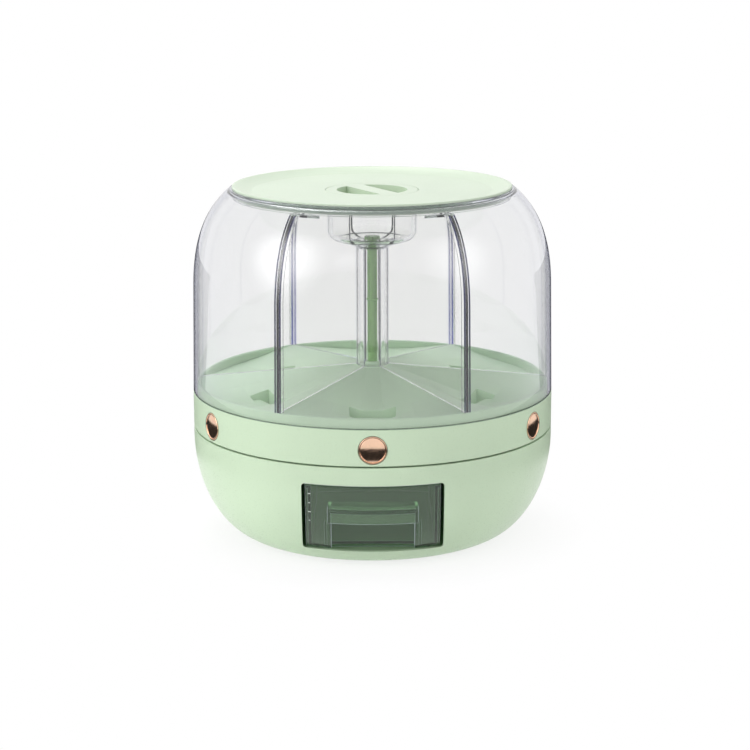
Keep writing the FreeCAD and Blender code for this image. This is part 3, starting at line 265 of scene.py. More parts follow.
def new_tree(name, sockets):
    """A geometry node tree; sockets are (name, type). Returns the tree and its end nodes."""
    tree = bpy.data.node_groups.new(name, "GeometryNodeTree")
    tree.interface.new_socket("Geometry", in_out="INPUT", socket_type="NodeSocketGeometry")
    for label, kind in sockets:
        tree.interface.new_socket(label, in_out="INPUT", socket_type=kind)
    tree.interface.new_socket("Geometry", in_out="OUTPUT", socket_type="NodeSocketGeometry")
    return tree, tree.nodes.new("NodeGroupInput"), tree.nodes.new("NodeGroupOutput")


def join(tree, source, target):
    tree.links.new(source, target)


def math_node(tree, operation, *terms):
    """One step of arithmetic; a term is a number or another node's output."""
    step = tree.nodes.new("ShaderNodeMath")
    step.operation = operation
    for socket, term in zip(step.inputs, terms):
        if isinstance(term, (int, float)):
            socket.default_value = term
        else:
            join(tree, term, socket)
    return step.outputs["Value"]


def finish_tree(tree, geometry, given, output):
    """Ends a tree: copies made real, then the material of the modifier's input."""
    real = tree.nodes.new("GeometryNodeRealizeInstances")
    paint = tree.nodes.new("GeometryNodeSetMaterial")
    join(tree, geometry, real.inputs["Geometry"])
    join(tree, real.outputs["Geometry"], paint.inputs["Geometry"])
    join(tree, given.outputs["Material"], paint.inputs["Material"])
    join(tree, paint.outputs["Geometry"], output.inputs["Geometry"])


def turned_tree():
    """Sweeps an outline round the upright axis; the outline's X is counted from the circle's radius."""
    tree, given, output = new_tree("turned_shell", [
        ("Steps", "NodeSocketInt"), ("Radius", "NodeSocketFloat"), ("Material", "NodeSocketMaterial")])
    line = tree.nodes.new("GeometryNodeMeshToCurve")
    circle = tree.nodes.new("GeometryNodeCurvePrimitiveCircle")
    upright = tree.nodes.new("GeometryNodeSetCurveNormal")
    upright.mode = "Z_UP"
    sweep = tree.nodes.new("GeometryNodeCurveToMesh")
    weld = tree.nodes.new("GeometryNodeMergeByDistance")
    weld.inputs["Distance"].default_value = WELD
    join(tree, given.outputs["Geometry"], line.inputs["Mesh"])
    join(tree, given.outputs["Steps"], circle.inputs["Resolution"])
    join(tree, given.outputs["Radius"], circle.inputs["Radius"])
    join(tree, circle.outputs["Curve"], upright.inputs["Curve"])
    join(tree, upright.outputs["Curve"], sweep.inputs["Curve"])
    join(tree, line.outputs["Curve"], sweep.inputs["Profile Curve"])
    join(tree, sweep.outputs["Mesh"], weld.inputs["Geometry"])
    finish_tree(tree, weld.outputs["Geometry"], given, output)
    return tree


def spread_tree():
    """Repeats a shape round the upright axis, turned evenly from a start angle."""
    tree, given, output = new_tree("spread_round", [
        ("Count", "NodeSocketInt"), ("Start", "NodeSocketFloat"), ("Material", "NodeSocketMaterial")])
    points = tree.nodes.new("GeometryNodePoints")
    index = tree.nodes.new("GeometryNodeInputIndex")
    turn = tree.nodes.new("ShaderNodeCombineXYZ")
    copies = tree.nodes.new("GeometryNodeInstanceOnPoints")
    join(tree, given.outputs["Count"], points.inputs["Count"])
    step = math_node(tree, "DIVIDE", 2 * math.pi, given.outputs["Count"])
    about = math_node(tree, "MULTIPLY_ADD", index.outputs["Index"], step, given.outputs["Start"])
    join(tree, about, turn.inputs["Z"])
    join(tree, points.outputs["Points"], copies.inputs["Points"])
    join(tree, given.outputs["Geometry"], copies.inputs["Instance"])
    join(tree, turn.outputs["Vector"], copies.inputs["Rotation"])
    finish_tree(tree, copies.outputs["Instances"], given, output)
    return tree


def marks_tree():
    """Sets a bar on every point, turned by the point's own angles; every second bar is shorter."""
    tree, given, output = new_tree("level_marks", [
        ("Bar", "NodeSocketVector"), ("Short", "NodeSocketFloat"), ("Material", "NodeSocketMaterial")])
    bar = tree.nodes.new("GeometryNodeMeshCube")
    angles = tree.nodes.new("GeometryNodeInputNamedAttribute")
    angles.data_type = "FLOAT_VECTOR"
    angles.inputs["Name"].default_value = "turn"
    index = tree.nodes.new("GeometryNodeInputIndex")
    odd = math_node(tree, "MODULO", index.outputs["Index"], 2)
    span = tree.nodes.new("ShaderNodeMapRange")
    span.inputs["To Min"].default_value = 1
    scale = tree.nodes.new("ShaderNodeCombineXYZ")
    scale.inputs["Y"].default_value = 1
    scale.inputs["Z"].default_value = 1
    copies = tree.nodes.new("GeometryNodeInstanceOnPoints")
    join(tree, odd, span.inputs["Value"])
    join(tree, given.outputs["Short"], span.inputs["To Max"])
    join(tree, span.outputs["Result"], scale.inputs["X"])
    join(tree, given.outputs["Bar"], bar.inputs["Size"])
    join(tree, given.outputs["Geometry"], copies.inputs["Points"])
    join(tree, bar.outputs["Mesh"], copies.inputs["Instance"])
    join(tree, angles.outputs["Attribute"], copies.inputs["Rotation"])
    join(tree, scale.outputs["Vector"], copies.inputs["Scale"])
    finish_tree(tree, copies.outputs["Instances"], given, output)
    return tree


def spring_tree():
    """Winds a wire along Y: close turns at both ends and open turns between them."""
    tree, given, output = new_tree("wound_spring", [
        ("Turns", "NodeSocketFloat"), ("Radius", "NodeSocketFloat"), ("Length", "NodeSocketFloat"),
        ("Wire", "NodeSocketFloat"), ("Material", "NodeSocketMaterial")])
    points = 361
    wire_sides = 10
    closeness = 0.66
    line = tree.nodes.new("GeometryNodeMeshLine")
    line.inputs["Count"].default_value = points
    curve = tree.nodes.new("GeometryNodeMeshToCurve")
    index = tree.nodes.new("GeometryNodeInputIndex")
    along = math_node(tree, "DIVIDE", index.outputs["Index"], points - 1)
    turn = math_node(tree, "MULTIPLY", along, 2 * math.pi)
    angle = math_node(tree, "MULTIPLY", turn, given.outputs["Turns"])
    eased = math_node(tree, "MULTIPLY_ADD", math_node(tree, "SINE", turn), -closeness / (2 * math.pi), along)
    where = tree.nodes.new("ShaderNodeCombineXYZ")
    for axis, share_of, whole in (("X", math_node(tree, "COSINE", angle), "Radius"), ("Y", eased, "Length"),
                                  ("Z", math_node(tree, "SINE", angle), "Radius")):
        join(tree, math_node(tree, "MULTIPLY", share_of, given.outputs[whole]), where.inputs[axis])
    moved = tree.nodes.new("GeometryNodeSetPosition")
    circle = tree.nodes.new("GeometryNodeCurvePrimitiveCircle")
    circle.inputs["Resolution"].default_value = wire_sides
    sweep = tree.nodes.new("GeometryNodeCurveToMesh")
    sweep.inputs["Fill Caps"].default_value = True
    join(tree, line.outputs["Mesh"], curve.inputs["Mesh"])
    join(tree, curve.outputs["Curve"], moved.inputs["Geometry"])
    join(tree, where.outputs["Vector"], moved.inputs["Position"])
    join(tree, given.outputs["Wire"], circle.inputs["Radius"])
    join(tree, moved.outputs["Geometry"], sweep.inputs["Curve"])
    join(tree, circle.outputs["Curve"], sweep.inputs["Profile Curve"])
    finish_tree(tree, sweep.outputs["Mesh"], given, output)
    return tree


def grown(mesh, tree, **values):
    """Runs a geometry tree over a mesh and returns the result as a plain mesh."""
    carrier = bpy.data.objects.new("carrier", mesh)
    bpy.context.scene.collection.objects.link(carrier)
    modifier = carrier.modifiers.new("tree", "NODES")
    modifier.node_group = tree
    for socket in tree.interface.items_tree:
        if socket.in_out == "INPUT" and socket.name.lower() in values:
            modifier[socket.identifier] = values[socket.name.lower()]
    ready = carrier.evaluated_get(bpy.context.evaluated_depsgraph_get())
    result = bpy.data.meshes.new_from_object(ready)
    carrier.modifiers.remove(modifier)
    bpy.data.objects.remove(carrier)
    if not result.polygons:
        raise RuntimeError(tree.name + " made no faces")
    return result


def tree_named(name):
    """The named geometry tree, built when it is first asked for."""
    makers = {"turned_shell": turned_tree, "spread_round": spread_tree, "level_marks": marks_tree,
              "wound_spring": spring_tree}
    return bpy.data.node_groups.get(name) or makers[name]()


def turned(outline, material):
    """A turned piece from a closed outline of (r, z) points, in metres."""
    radius = max(r for r, z in outline)
    points = [(r - radius, -z, 0) for r, z in outline]
    mesh = grown(wire_mesh(points), tree_named("turned_shell"), steps=sizes().turned_steps,
                 radius=radius, material=material)
    reach = max(math.hypot(v.co.x, v.co.y) for v in mesh.vertices)
    if abs(reach - radius) > REACH_ERROR:
        raise RuntimeError("a turned outline came out with the wrong radius: %.5f" % reach)
    outward(mesh)
    smooth(mesh, CREASE)
    return mesh


def spread(mesh, count, start, material):
    """The mesh repeated round the upright axis from a start angle."""
    result = grown(mesh, tree_named("spread_round"), count=count, start=start, material=material)
    smooth(result, CREASE)
    return result


# Finishes

def new_finish(name):
    """A material with an empty node tree and its output."""
    material = bpy.data.materials.new(name)
    material.use_nodes = True
    nodes = material.node_tree.nodes
    nodes.clear()
    return material, material.node_tree, nodes.new("ShaderNodeOutputMaterial")


def noise(tree, scale, detail, low, high):
    """A noise pattern on the piece's own coordinates, spread between two values."""
    coordinates = tree.nodes.new("ShaderNodeTexCoord")
    pattern = tree.nodes.new("ShaderNodeTexNoise")
    stretched = tree.nodes.new("ShaderNodeMapRange")
    pattern.inputs["Scale"].default_value = scale
    pattern.inputs["Detail"].default_value = detail
    stretched.inputs["From Min"].default_value = 0.3
    stretched.inputs["From Max"].default_value = 0.7
    stretched.inputs["To Min"].default_value = low
    stretched.inputs["To Max"].default_value = high
    join(tree, coordinates.outputs["Object"], pattern.inputs["Vector"])
    join(tree, pattern.outputs["Fac"], stretched.inputs["Value"])
    return stretched.outputs["Result"]


def blended(tree, factor, first, second):
    """A colour between two, by a factor."""
    mix = tree.nodes.new("ShaderNodeMix")
    mix.data_type = "RGBA"
    mix.inputs["A"].default_value = (*first, 1)
    mix.inputs["B"].default_value = (*second, 1)
    join(tree, factor, mix.inputs["Factor"])
    return mix.outputs["Result"]


def uneven_tint(tree, tint, amount, scale, detail):
    """A colour that wanders between a little darker and a little lighter than the tint."""
    dark, light = ([min(1.0, value * (1 + way * amount)) for value in tint] for way in (-1, 1))
    return blended(tree, noise(tree, scale, detail, 0, 1), dark, light)


def grained(tree, shader, scale, strength, depth, edge):
    """Gives a shader a fine grain and, where edge isn't 0, softly rounded edges."""
    bump = tree.nodes.new("ShaderNodeBump")
    bump.inputs["Strength"].default_value = strength
    bump.inputs["Distance"].default_value = depth
    join(tree, noise(tree, scale, 3, 0, 1), bump.inputs["Height"])
    if edge > 0:
        bevel = tree.nodes.new("ShaderNodeBevel")
        bevel.samples = 6
        bevel.inputs["Radius"].default_value = edge
        join(tree, bevel.outputs["Normal"], bump.inputs["Normal"])
    join(tree, bump.outputs["Normal"], shader.inputs["Normal"])


def moulded(name, tint, low=0.26, high=0.36, grain=0.12, uneven=0.025, edge=0.6 * MM):
    """Moulded plastic: satin gloss, a fine grain, a colour that varies a little over the piece."""
    material, tree, output = new_finish(name)
    shader = tree.nodes.new("ShaderNodeBsdfPrincipled")
    shader.inputs["IOR"].default_value = 1.47
    patches, gloss, pores = 14, 900, 2400
    join(tree, uneven_tint(tree, tint, uneven, patches, 2), shader.inputs["Base Color"])
    join(tree, noise(tree, gloss, 2, low, high), shader.inputs["Roughness"])
    grained(tree, shader, pores, grain, 0.03 * MM, edge)
    join(tree, shader.outputs["BSDF"], output.inputs["Surface"])
    return material


def metal(name, tint, low, high, scale, uneven=0.06, grain=0.1, edge=0.3 * MM):
    """Bare or coated metal: roughness and tone vary over the piece."""
    material, tree, output = new_finish(name)
    shader = tree.nodes.new("ShaderNodeBsdfPrincipled")
    shader.inputs["Metallic"].default_value = 1
    patches = 60
    join(tree, uneven_tint(tree, tint, uneven, patches, 3), shader.inputs["Base Color"])
    join(tree, noise(tree, scale, 2, low, high), shader.inputs["Roughness"])
    grained(tree, shader, scale, grain, 0.02 * MM, edge)
    join(tree, shader.outputs["BSDF"], output.inputs["Surface"])
    return material


def painted_edge_highlights(tree, body, radius, tint, strength):
    """Paints a highlight along every edge of a clear piece: a pale satin line where the moulding is rounded.

    It fades in as the rounded surface turns away from the true one; both ends are cosines of that turn.
    """
    begins, full = 0.96, 0.80
    true = tree.nodes.new("ShaderNodeNewGeometry")
    soft = tree.nodes.new("ShaderNodeBevel")
    turn = tree.nodes.new("ShaderNodeVectorMath")
    line = tree.nodes.new("ShaderNodeMapRange")
    satin = tree.nodes.new("ShaderNodeBsdfPrincipled")
    mixed = tree.nodes.new("ShaderNodeMixShader")
    soft.samples = 8
    soft.inputs["Radius"].default_value = radius
    turn.operation = "DOT_PRODUCT"
    line.inputs["From Min"].default_value = begins
    line.inputs["From Max"].default_value = full
    line.inputs["To Max"].default_value = strength
    # The pale satin colour is the painted highlight
    satin.inputs["Base Color"].default_value = (*tint, 1)
    satin.inputs["Roughness"].default_value = 0.3
    join(tree, soft.outputs["Normal"], turn.inputs[0])
    join(tree, true.outputs["Normal"], turn.inputs[1])
    join(tree, turn.outputs["Value"], line.inputs["Value"])
    join(tree, line.outputs["Result"], mixed.inputs["Fac"])
    join(tree, body, mixed.inputs[1])
    join(tree, satin.outputs["BSDF"], mixed.inputs[2])
    return mixed.outputs["Shader"]


def clear(name, face, edge, lost, density, shade, rough, through=1.0, bevel=0, line=None, strength=0):
    """Clear plastic: light passes it, and a long way through it turns it dark. Its shadow is thin.

    Face and edge tint it seen flat on and along its face, lost and density colour the way through it, and
    shade tints its shadow. With a line colour, its edges carry painted highlights: satin lines of that
    strength.
    """
    grazing, ripple, swirl = 0.72, 11, 40
    waviness, wave = 0.06, 0.2 * MM
    material, tree, output = new_finish(name)
    shader = tree.nodes.new("ShaderNodeBsdfPrincipled")
    shader.inputs["Transmission Weight"].default_value = through
    shader.inputs["IOR"].default_value = 1.49
    facing = tree.nodes.new("ShaderNodeLayerWeight")
    facing.inputs["Blend"].default_value = 0.5
    rim = tree.nodes.new("ShaderNodeMapRange")
    rim.interpolation_type = "SMOOTHSTEP"
    rim.inputs["From Min"].default_value = grazing
    join(tree, facing.outputs["Facing"], rim.inputs["Value"])
    join(tree, blended(tree, rim.outputs["Result"], face, edge), shader.inputs["Base Color"])
    join(tree, noise(tree, swirl, 2, 0, rough), shader.inputs["Roughness"])
    grained(tree, shader, ripple, waviness, wave, bevel)
    passing = tree.nodes.new("ShaderNodeBsdfTransparent")
    passing.inputs["Color"].default_value = (*shade, 1)
    rays = tree.nodes.new("ShaderNodeLightPath")
    either = tree.nodes.new("ShaderNodeMixShader")
    body = shader.outputs["BSDF"]
    # Painted highlight: pale satin lines along the edges
    if line:
        body = painted_edge_highlights(tree, body, bevel, line, strength)
    join(tree, rays.outputs["Is Shadow Ray"], either.inputs["Fac"])
    join(tree, body, either.inputs[1])
    join(tree, passing.outputs["BSDF"], either.inputs[2])
    join(tree, either.outputs["Shader"], output.inputs["Surface"])
    inside = tree.nodes.new("ShaderNodeVolumeAbsorption")
    inside.inputs["Color"].default_value = (*lost, 1)
    inside.inputs["Density"].default_value = density
    join(tree, inside.outputs["Volume"], output.inputs["Volume"])
    return material


def finish_named(name):
    """The named finish, made when it is first asked for."""
    c = colours()
    dome_face, leaf_face = (0.990, 0.988, 0.968), (0.990, 0.988, 0.975)
    dome_lost, leaf_lost, smoke_lost = (0.18, 0.24, 0.58), (0.40, 0.44, 0.84), (0.38, 0.62, 0.42)
    thin_shadow, green_shadow = (0.985, 0.987, 0.990), (0.74, 0.82, 0.74)
    makers = {
        "mint_moulding": lambda n: moulded(n, c.mint),
        "pale_mint_moulding": lambda n: moulded(n, c.pale_mint, 0.28, 0.38),
        "tray_moulding": lambda n: moulded(n, c.tray_green, 0.32, 0.44),
        # Mint darkened as painted shade, for the pieces inside the base
        "inner_moulding": lambda n: moulded(n, c.shaded_inner_green, 0.34, 0.46),
        "rod_moulding": lambda n: moulded(n, c.rod_green, 0.2, 0.3),
        "white_nylon": lambda n: moulded(n, c.nylon, 0.4, 0.55, 0.2),
        "seal_silicone": lambda n: moulded(n, c.silicone, 0.45, 0.6, 0.2, 0.04, 0),
        "foot_rubber": lambda n: moulded(n, c.rubber, 0.7, 0.85, 0.5, 0.15, 0),
        "level_mark_ink": lambda n: moulded(n, c.mark, 0.4, 0.5, 0.1, 0.03, 0),
        "copper_coat": lambda n: metal(n, c.copper, 0.1, 0.16, 500, 0.03, 0.04, 0.35 * MM),
        "zinc_plate": lambda n: metal(n, c.zinc, 0.22, 0.42, 900),
        "bright_steel": lambda n: metal(n, c.steel, 0.1, 0.2, 700, 0.03, 0.03, 0),
        "clear_moulding": lambda n: clear(n, dome_face, c.clear_edge, dome_lost, 22, thin_shadow, 0.012),
        # The leaves and the drawer carry painted edge highlights along their rounded edges
        "clear_leaf": lambda n: clear(n, leaf_face, c.leaf_edge, leaf_lost, 8, thin_shadow, 0.012,
                                      bevel=0.35 * MM, line=c.leaf_highlight, strength=0.35),
        "clear_rib": lambda n: clear(n, leaf_face, c.leaf_edge, leaf_lost, 8, thin_shadow, 0.012),
        "smoky_moulding": lambda n: clear(n, c.smoke, c.smoke_edge, smoke_lost, 20, green_shadow, 0.02,
                                          through=0.93, bevel=0.75 * MM, line=c.smoke_highlight, strength=0.9),
    }
    return bpy.data.materials.get(name) or makers[name](name)


# Pieces

class StepOperator:
    """What every step has in common."""
    bl_options = {"REGISTER", "UNDO"}


class DISPENSER_OT_stage(StepOperator, bpy.types.Operator):
    """Sets up the floor, the lamps, the surrounding light and the camera."""
    bl_idname = "dispenser.stage"
    bl_label = "Studio"
    aim_at = Vector((0, 0, 0.16))
    floor_half = 40.0
    card_lift = 0.4 * MM
    card_steps = 48
    most_bounces = 32
    plain_bounces = 8
    sensor_width = 36
    # Each lamp's name, place and side, in metres
    lamps = (("top", (-0.35, 0.75, 1.75), 1.6), ("left", (-1.60, -1.0, 0.95), 2.6),
             ("right", (1.60, -1.0, 0.95), 2.4), ("front", (-0.6, -1.9, 1.2), 1.0))
    # Each card's name, inner and outer radius in metres, first and last angle in degrees from the right side
    arcs = (("dark_card", 0.31, 0.70, 0, 360), ("right_card", 0.70, 3.00, 32, 84),
            ("left_card", 0.70, 3.00, 96, 148))

    def execute(self, context):
        studio = context.scene.dispenser_studio
        self.surround(context.scene, studio)
        self.floor(studio)
        self.cards()
        for name, where, side in self.lamps:
            holder = self.lamp(name + "_lamp", where, side, getattr(studio, name + "_power"))
            holder.visible_glossy = name != "front"
        self.camera(context.scene, studio)
        context.scene.view_settings.view_transform = "Standard"
        light = context.scene.cycles
        light.max_bounces = light.transmission_bounces = self.most_bounces
        light.diffuse_bounces = light.glossy_bounces = self.plain_bounces
        return {"FINISHED"}

    def seen(self, tree):
        """1 for rays that look at the background, straight, by reflection or through something clear."""
        rays = tree.nodes.new("ShaderNodeLightPath")
        shown = math_node(tree, "MAXIMUM", rays.outputs["Is Camera Ray"], rays.outputs["Is Glossy Ray"])
        return math_node(tree, "MAXIMUM", shown, rays.outputs["Is Transmission Ray"])

    def surround(self, scene, studio):
        """White to look at, and a plain soft light on everything."""
        world = bpy.data.worlds.new("studio_world")
        world.use_nodes = True
        tree = world.node_tree
        tree.nodes.clear()
        output = tree.nodes.new("ShaderNodeOutputWorld")
        plain = tree.nodes.new("ShaderNodeBackground")
        white = tree.nodes.new("ShaderNodeBackground")
        either = tree.nodes.new("ShaderNodeMixShader")
        plain.inputs["Strength"].default_value = studio.ambient
        join(tree, self.seen(tree), either.inputs["Fac"])
        join(tree, plain.outputs["Background"], either.inputs[1])
        join(tree, white.outputs["Background"], either.inputs[2])
        join(tree, either.outputs["Shader"], output.inputs["Surface"])
        for node in (plain, white):
            node.inputs["Color"].default_value = (1, 1, 1, 1)
        scene.world = world

    def floor(self, studio):
        """A white floor that shows only the shadow close to the base, and takes light like a matt one."""
        backdrop = colours().backdrop
        material, tree, output = new_finish("studio_floor")
        matt = tree.nodes.new("ShaderNodeBsdfDiffuse")
        glow = tree.nodes.new("ShaderNodeEmission")
        shared = tree.nodes.new("ShaderNodeMixShader")
        either = tree.nodes.new("ShaderNodeMixShader")
        near = tree.nodes.new("ShaderNodeAmbientOcclusion")
        depth = tree.nodes.new("ShaderNodeMapRange")
        near.samples = 12
        near.inputs["Distance"].default_value = studio.shadow_reach
        depth.inputs["To Min"].default_value = studio.shadow_share
        depth.inputs["To Max"].default_value = 0
        join(tree, near.outputs["AO"], depth.inputs["Value"])
        join(tree, depth.outputs["Result"], shared.inputs["Fac"])
        matt.inputs["Color"].default_value = (*backdrop, 1)
        glow.inputs["Color"].default_value = (*backdrop, 1)
        join(tree, glow.outputs["Emission"], shared.inputs[1])
        join(tree, matt.outputs["BSDF"], shared.inputs[2])
        join(tree, self.seen(tree), either.inputs["Fac"])
        join(tree, matt.outputs["BSDF"], either.inputs[1])
        join(tree, shared.outputs["Shader"], either.inputs[2])
        join(tree, either.outputs["Shader"], output.inputs["Surface"])
        wide = self.floor_half
        corners = [(-wide, -wide, 0), (wide, -wide, 0), (wide, wide, 0), (-wide, wide, 0)]
        mesh = bpy.data.meshes.new("floor")
        mesh.from_pydata(corners, [], [(0, 1, 2, 3)])
        place("floor", mesh, material)

    def cards(self):
        """Dark cards on the floor round the base and at both sides behind it."""
        flag, tree, output = new_finish("dark_card")
        black = tree.nodes.new("ShaderNodeBsdfDiffuse")
        black.inputs["Color"].default_value = (0.03, 0.03, 0.03, 1)
        join(tree, black.outputs["BSDF"], output.inputs["Surface"])
        for name, *arc in self.arcs:
            self.card(name, flag, *arc)

    def card(self, name, finish, inner, outer, start, end):
        """A flat arc on the floor that only reflections see: it draws the edges of the clear pieces."""
        steps = self.card_steps
        turns = [math.radians(start + (end - start) * k / steps) for k in range(steps + 1)]
        points = [(radius * math.cos(turn), radius * math.sin(turn), self.card_lift)
                  for radius in (inner, outer) for turn in turns]
        faces = [(k, k + 1, steps + k + 2, steps + k + 1) for k in range(steps)]
        mesh = bpy.data.meshes.new(name)
        mesh.from_pydata(points, [], faces)
        card = place(name, mesh, finish)
        card.visible_camera = card.visible_diffuse = card.visible_transmission = False
        card.visible_shadow = card.visible_volume_scatter = False

    def lamp(self, name, where, side, energy):
        """A square lamp that looks at the object and fades from its middle to its edges."""
        middle, reach, peak = (0.5, 0.5, 0), 0.5, 2.6
        lamp = bpy.data.lights.new(name, "AREA")
        lamp.shape = "SQUARE"
        lamp.size = side
        lamp.energy = energy
        lamp.use_nodes = True
        tree = lamp.node_tree
        across = tree.nodes.new("ShaderNodeNewGeometry")
        away = tree.nodes.new("ShaderNodeVectorMath")
        away.operation = "DISTANCE"
        away.inputs[1].default_value = middle
        fade = tree.nodes.new("ShaderNodeMapRange")
        fade.interpolation_type = "SMOOTHERSTEP"
        fade.inputs["From Max"].default_value = reach
        fade.inputs["To Min"].default_value = peak
        fade.inputs["To Max"].default_value = 0
        join(tree, across.outputs["Parametric"], away.inputs[0])
        join(tree, away.outputs["Value"], fade.inputs["Value"])
        join(tree, fade.outputs["Result"], tree.nodes["Emission"].inputs["Strength"])
        holder = bpy.data.objects.new(name, lamp)
        bpy.context.scene.collection.objects.link(holder)
        look = self.aim_at - Vector(where)
        holder.matrix_world = Matrix.Translation(where) @ look.to_track_quat("-Z", "Y").to_matrix().to_4x4()
        return holder

    def camera(self, scene, studio):
        """The camera that looks along the angles of the studio's settings."""
        aim, drop, roll = studio.camera_aim, studio.camera_drop, studio.camera_roll
        ahead = Vector((math.sin(aim) * math.cos(drop), math.cos(aim) * math.cos(drop), -math.sin(drop)))
        level = Vector((math.cos(aim), -math.sin(aim), 0))
        above = level.cross(ahead)
        right = math.cos(roll) * level - math.sin(roll) * above
        up = math.sin(roll) * level + math.cos(roll) * above
        data = bpy.data.cameras.new("camera")
        data.lens = studio.lens
        data.sensor_width = self.sensor_width
        camera = bpy.data.objects.new("camera", data)
        scene.collection.objects.link(camera)
        turn = Matrix((right, up, -ahead)).transposed().to_4x4()
        camera.matrix_world = Matrix.Translation((0, -studio.camera_distance, studio.camera_height)) @ turn
        scene.camera = camera


class DISPENSER_OT_base(StepOperator, bpy.types.Operator):
    """Finishes the base: its shell, feet and the housing that the drawer slides in."""
    bl_idname = "dispenser.base"
    bl_label = "Base"

    def execute(self, context):
        dress("base_shell", finish_named("mint_moulding"))
        dress("rubber_feet", finish_named("foot_rubber"))
        dress("drawer_housing", finish_named("inner_moulding"))
        dress("drop_chute", finish_named("white_nylon"))
        return {"FINISHED"}


class DISPENSER_OT_buttons(StepOperator, bpy.types.Operator):
    """Finishes the collar and its six push buttons."""
    bl_idname = "dispenser.buttons"
    bl_label = "Collar and buttons"

    def execute(self, context):
        dress("collar_ring", finish_named("mint_moulding"))
        for k in range(SECTORS):
            dress("button_cap_%d" % (k + 1), finish_named("copper_coat"))
        return {"FINISHED"}


class DISPENSER_OT_tray(StepOperator, bpy.types.Operator):
    """Finishes the sloped floors of the compartments and the rod that ties the carousel together."""
    bl_idname = "dispenser.tray"
    bl_label = "Tray and rod"

    def execute(self, context):
        dress("hopper_tray", finish_named("tray_moulding"))
        for node in ("tie_rod", "tie_knob"):
            dress(node, finish_named("rod_moulding"))
        dress("dome_seal", finish_named("seal_silicone"))
        return {"FINISHED"}


class DISPENSER_OT_dome(StepOperator, bpy.types.Operator):
    """Finishes the clear dome with the ribs that guide the leaves."""
    bl_idname = "dispenser.dome"
    bl_label = "Dome"

    def execute(self, context):
        size, finish, pale = sizes(), finish_named("clear_moulding"), finish_named("clear_rib")
        low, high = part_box("clear_dome")
        shell = turned(self.outline(size, low.z, high.x, high.z), finish)
        ribs = spread(self.rib_pair(size, low.z, high.x, high.z), SECTORS, TURN / 2, pale)
        dome = stand_for("clear_dome", self.united(shell, ribs), "turntable", "clear_plastic", finish, pale)
        dome.data.name = "clear_dome"
        return {"FINISHED"}

    def wall_line(self, size, foot, radius, top, inset):
        """The wall's line (r, z) from its foot to the neck, moved in by the inset."""
        straight_steps, curve_steps = 12, 40
        shoulder = Vector((radius - size.dome_draft, foot + size.dome_straight))
        ends = (shoulder, shoulder + Vector((-size.low_pull_in, size.low_pull)),
                shoulder + Vector((-size.top_pull_in, size.top_pull)), Vector((size.neck_radius, top)))
        line = [Vector((radius, foot)).lerp(shoulder, k / straight_steps) for k in range(straight_steps)]
        for k in range(curve_steps + 1):
            u = k / curve_steps
            shares = ((1 - u) ** 3, 3 * u * (1 - u) ** 2, 3 * u * u * (1 - u), u ** 3)
            line.append(sum((part * end for part, end in zip(shares, ends)), Vector((0, 0))))
        moved = []
        for k, point in enumerate(line):
            way = (line[min(k + 1, len(line) - 1)] - line[max(k - 1, 0)]).normalized()
            moved.append(point + inset * Vector((-way.y, way.x)))
        moved[0].y = foot
        return moved

    def outline(self, size, foot, radius, top):
        """The closed section of the bell: its wall, flat neck and hanging lip."""
        brk = size.edge_round
        outer = self.wall_line(size, foot, radius, top, 0)
        under = top - size.dome_wall
        inner = [p for p in self.wall_line(size, foot, radius, top, size.dome_wall) if p.y < under]
        bore, lip = size.neck_bore, size.neck_bore + size.lip_wall
        low = top - size.lip_height
        corners = [(p.x, p.y, 0) for p in outer[:-1]]
        corners += [(size.neck_radius, top, brk), (bore, top, brk), (bore, low, brk), (lip, low, brk),
                    (lip, under, brk), (inner[-1].x, inner[-1].y, 0)]
        corners += [(p.x, p.y, 0) for p in reversed(inner[:-1])]
        return rounded(corners)

    def rib_pair(self, size, foot, radius, top):
        """The two ribs that hold one leaf between them, as closed plates on the front side of the dome."""
        low, high = foot + size.rib_lift, top - size.lip_height
        rooted, free = ([p for p in self.wall_line(size, foot, radius, top, inset) if low < p.y < high]
                        for inset in (size.dome_wall / 2, size.dome_wall + size.rib_depth))
        for line in (rooted, free):
            line.insert(0, Vector((line[0].x, low)))
            line.append(Vector((line[-1].x, high)))
        section = rooted + list(reversed(free))
        work = bmesh.new()
        for side in (-1, 1):
            near = side * size.rib_slot / 2
            face = work.faces.new([work.verts.new((near, -p.x, p.y)) for p in section])
            grown_out = bmesh.ops.extrude_face_region(work, geom=[face])
            bmesh.ops.translate(work, vec=(side * size.rib_width, 0, 0),
                                verts=[v for v in grown_out["geom"] if isinstance(v, bmesh.types.BMVert)])
        bmesh.ops.recalc_face_normals(work, faces=work.faces)
        mesh = bpy.data.meshes.new("rib_pair")
        work.to_mesh(mesh)
        work.free()
        return mesh

    def united(self, shell, ribs):
        """The shell and its ribs as one closed mesh."""
        carrier = place("shell", shell, *shell.materials)
        other = place("ribs", ribs, *ribs.materials)
        union = carrier.modifiers.new("union", "BOOLEAN")
        union.operation = "UNION"
        union.solver = "EXACT"
        union.material_mode = "TRANSFER"
        union.object = other
        mesh = bpy.data.meshes.new_from_object(carrier.evaluated_get(bpy.context.evaluated_depsgraph_get()))
        for piece in (carrier, other):
            bpy.data.objects.remove(piece)
        smooth(mesh, CREASE)
        return mesh


class DISPENSER_OT_divider(StepOperator, bpy.types.Operator):
    """Finishes the six clear leaves, their column and the well under the cap."""
    bl_idname = "dispenser.divider"
    bl_label = "Divider"

    def execute(self, context):
        dress("compartment_divider", finish_named("clear_leaf"))
        return {"FINISHED"}


class DISPENSER_OT_lid(StepOperator, bpy.types.Operator):
    """Finishes the lid, its twist cap and their seals."""
    bl_idname = "dispenser.lid"
    bl_label = "Lid and cap"

    def execute(self, context):
        for node in ("lid", "lid_cap"):
            dress(node, finish_named("pale_mint_moulding"))
        for node in ("lid_seal", "cap_seal"):
            dress(node, finish_named("seal_silicone"))
        return {"FINISHED"}


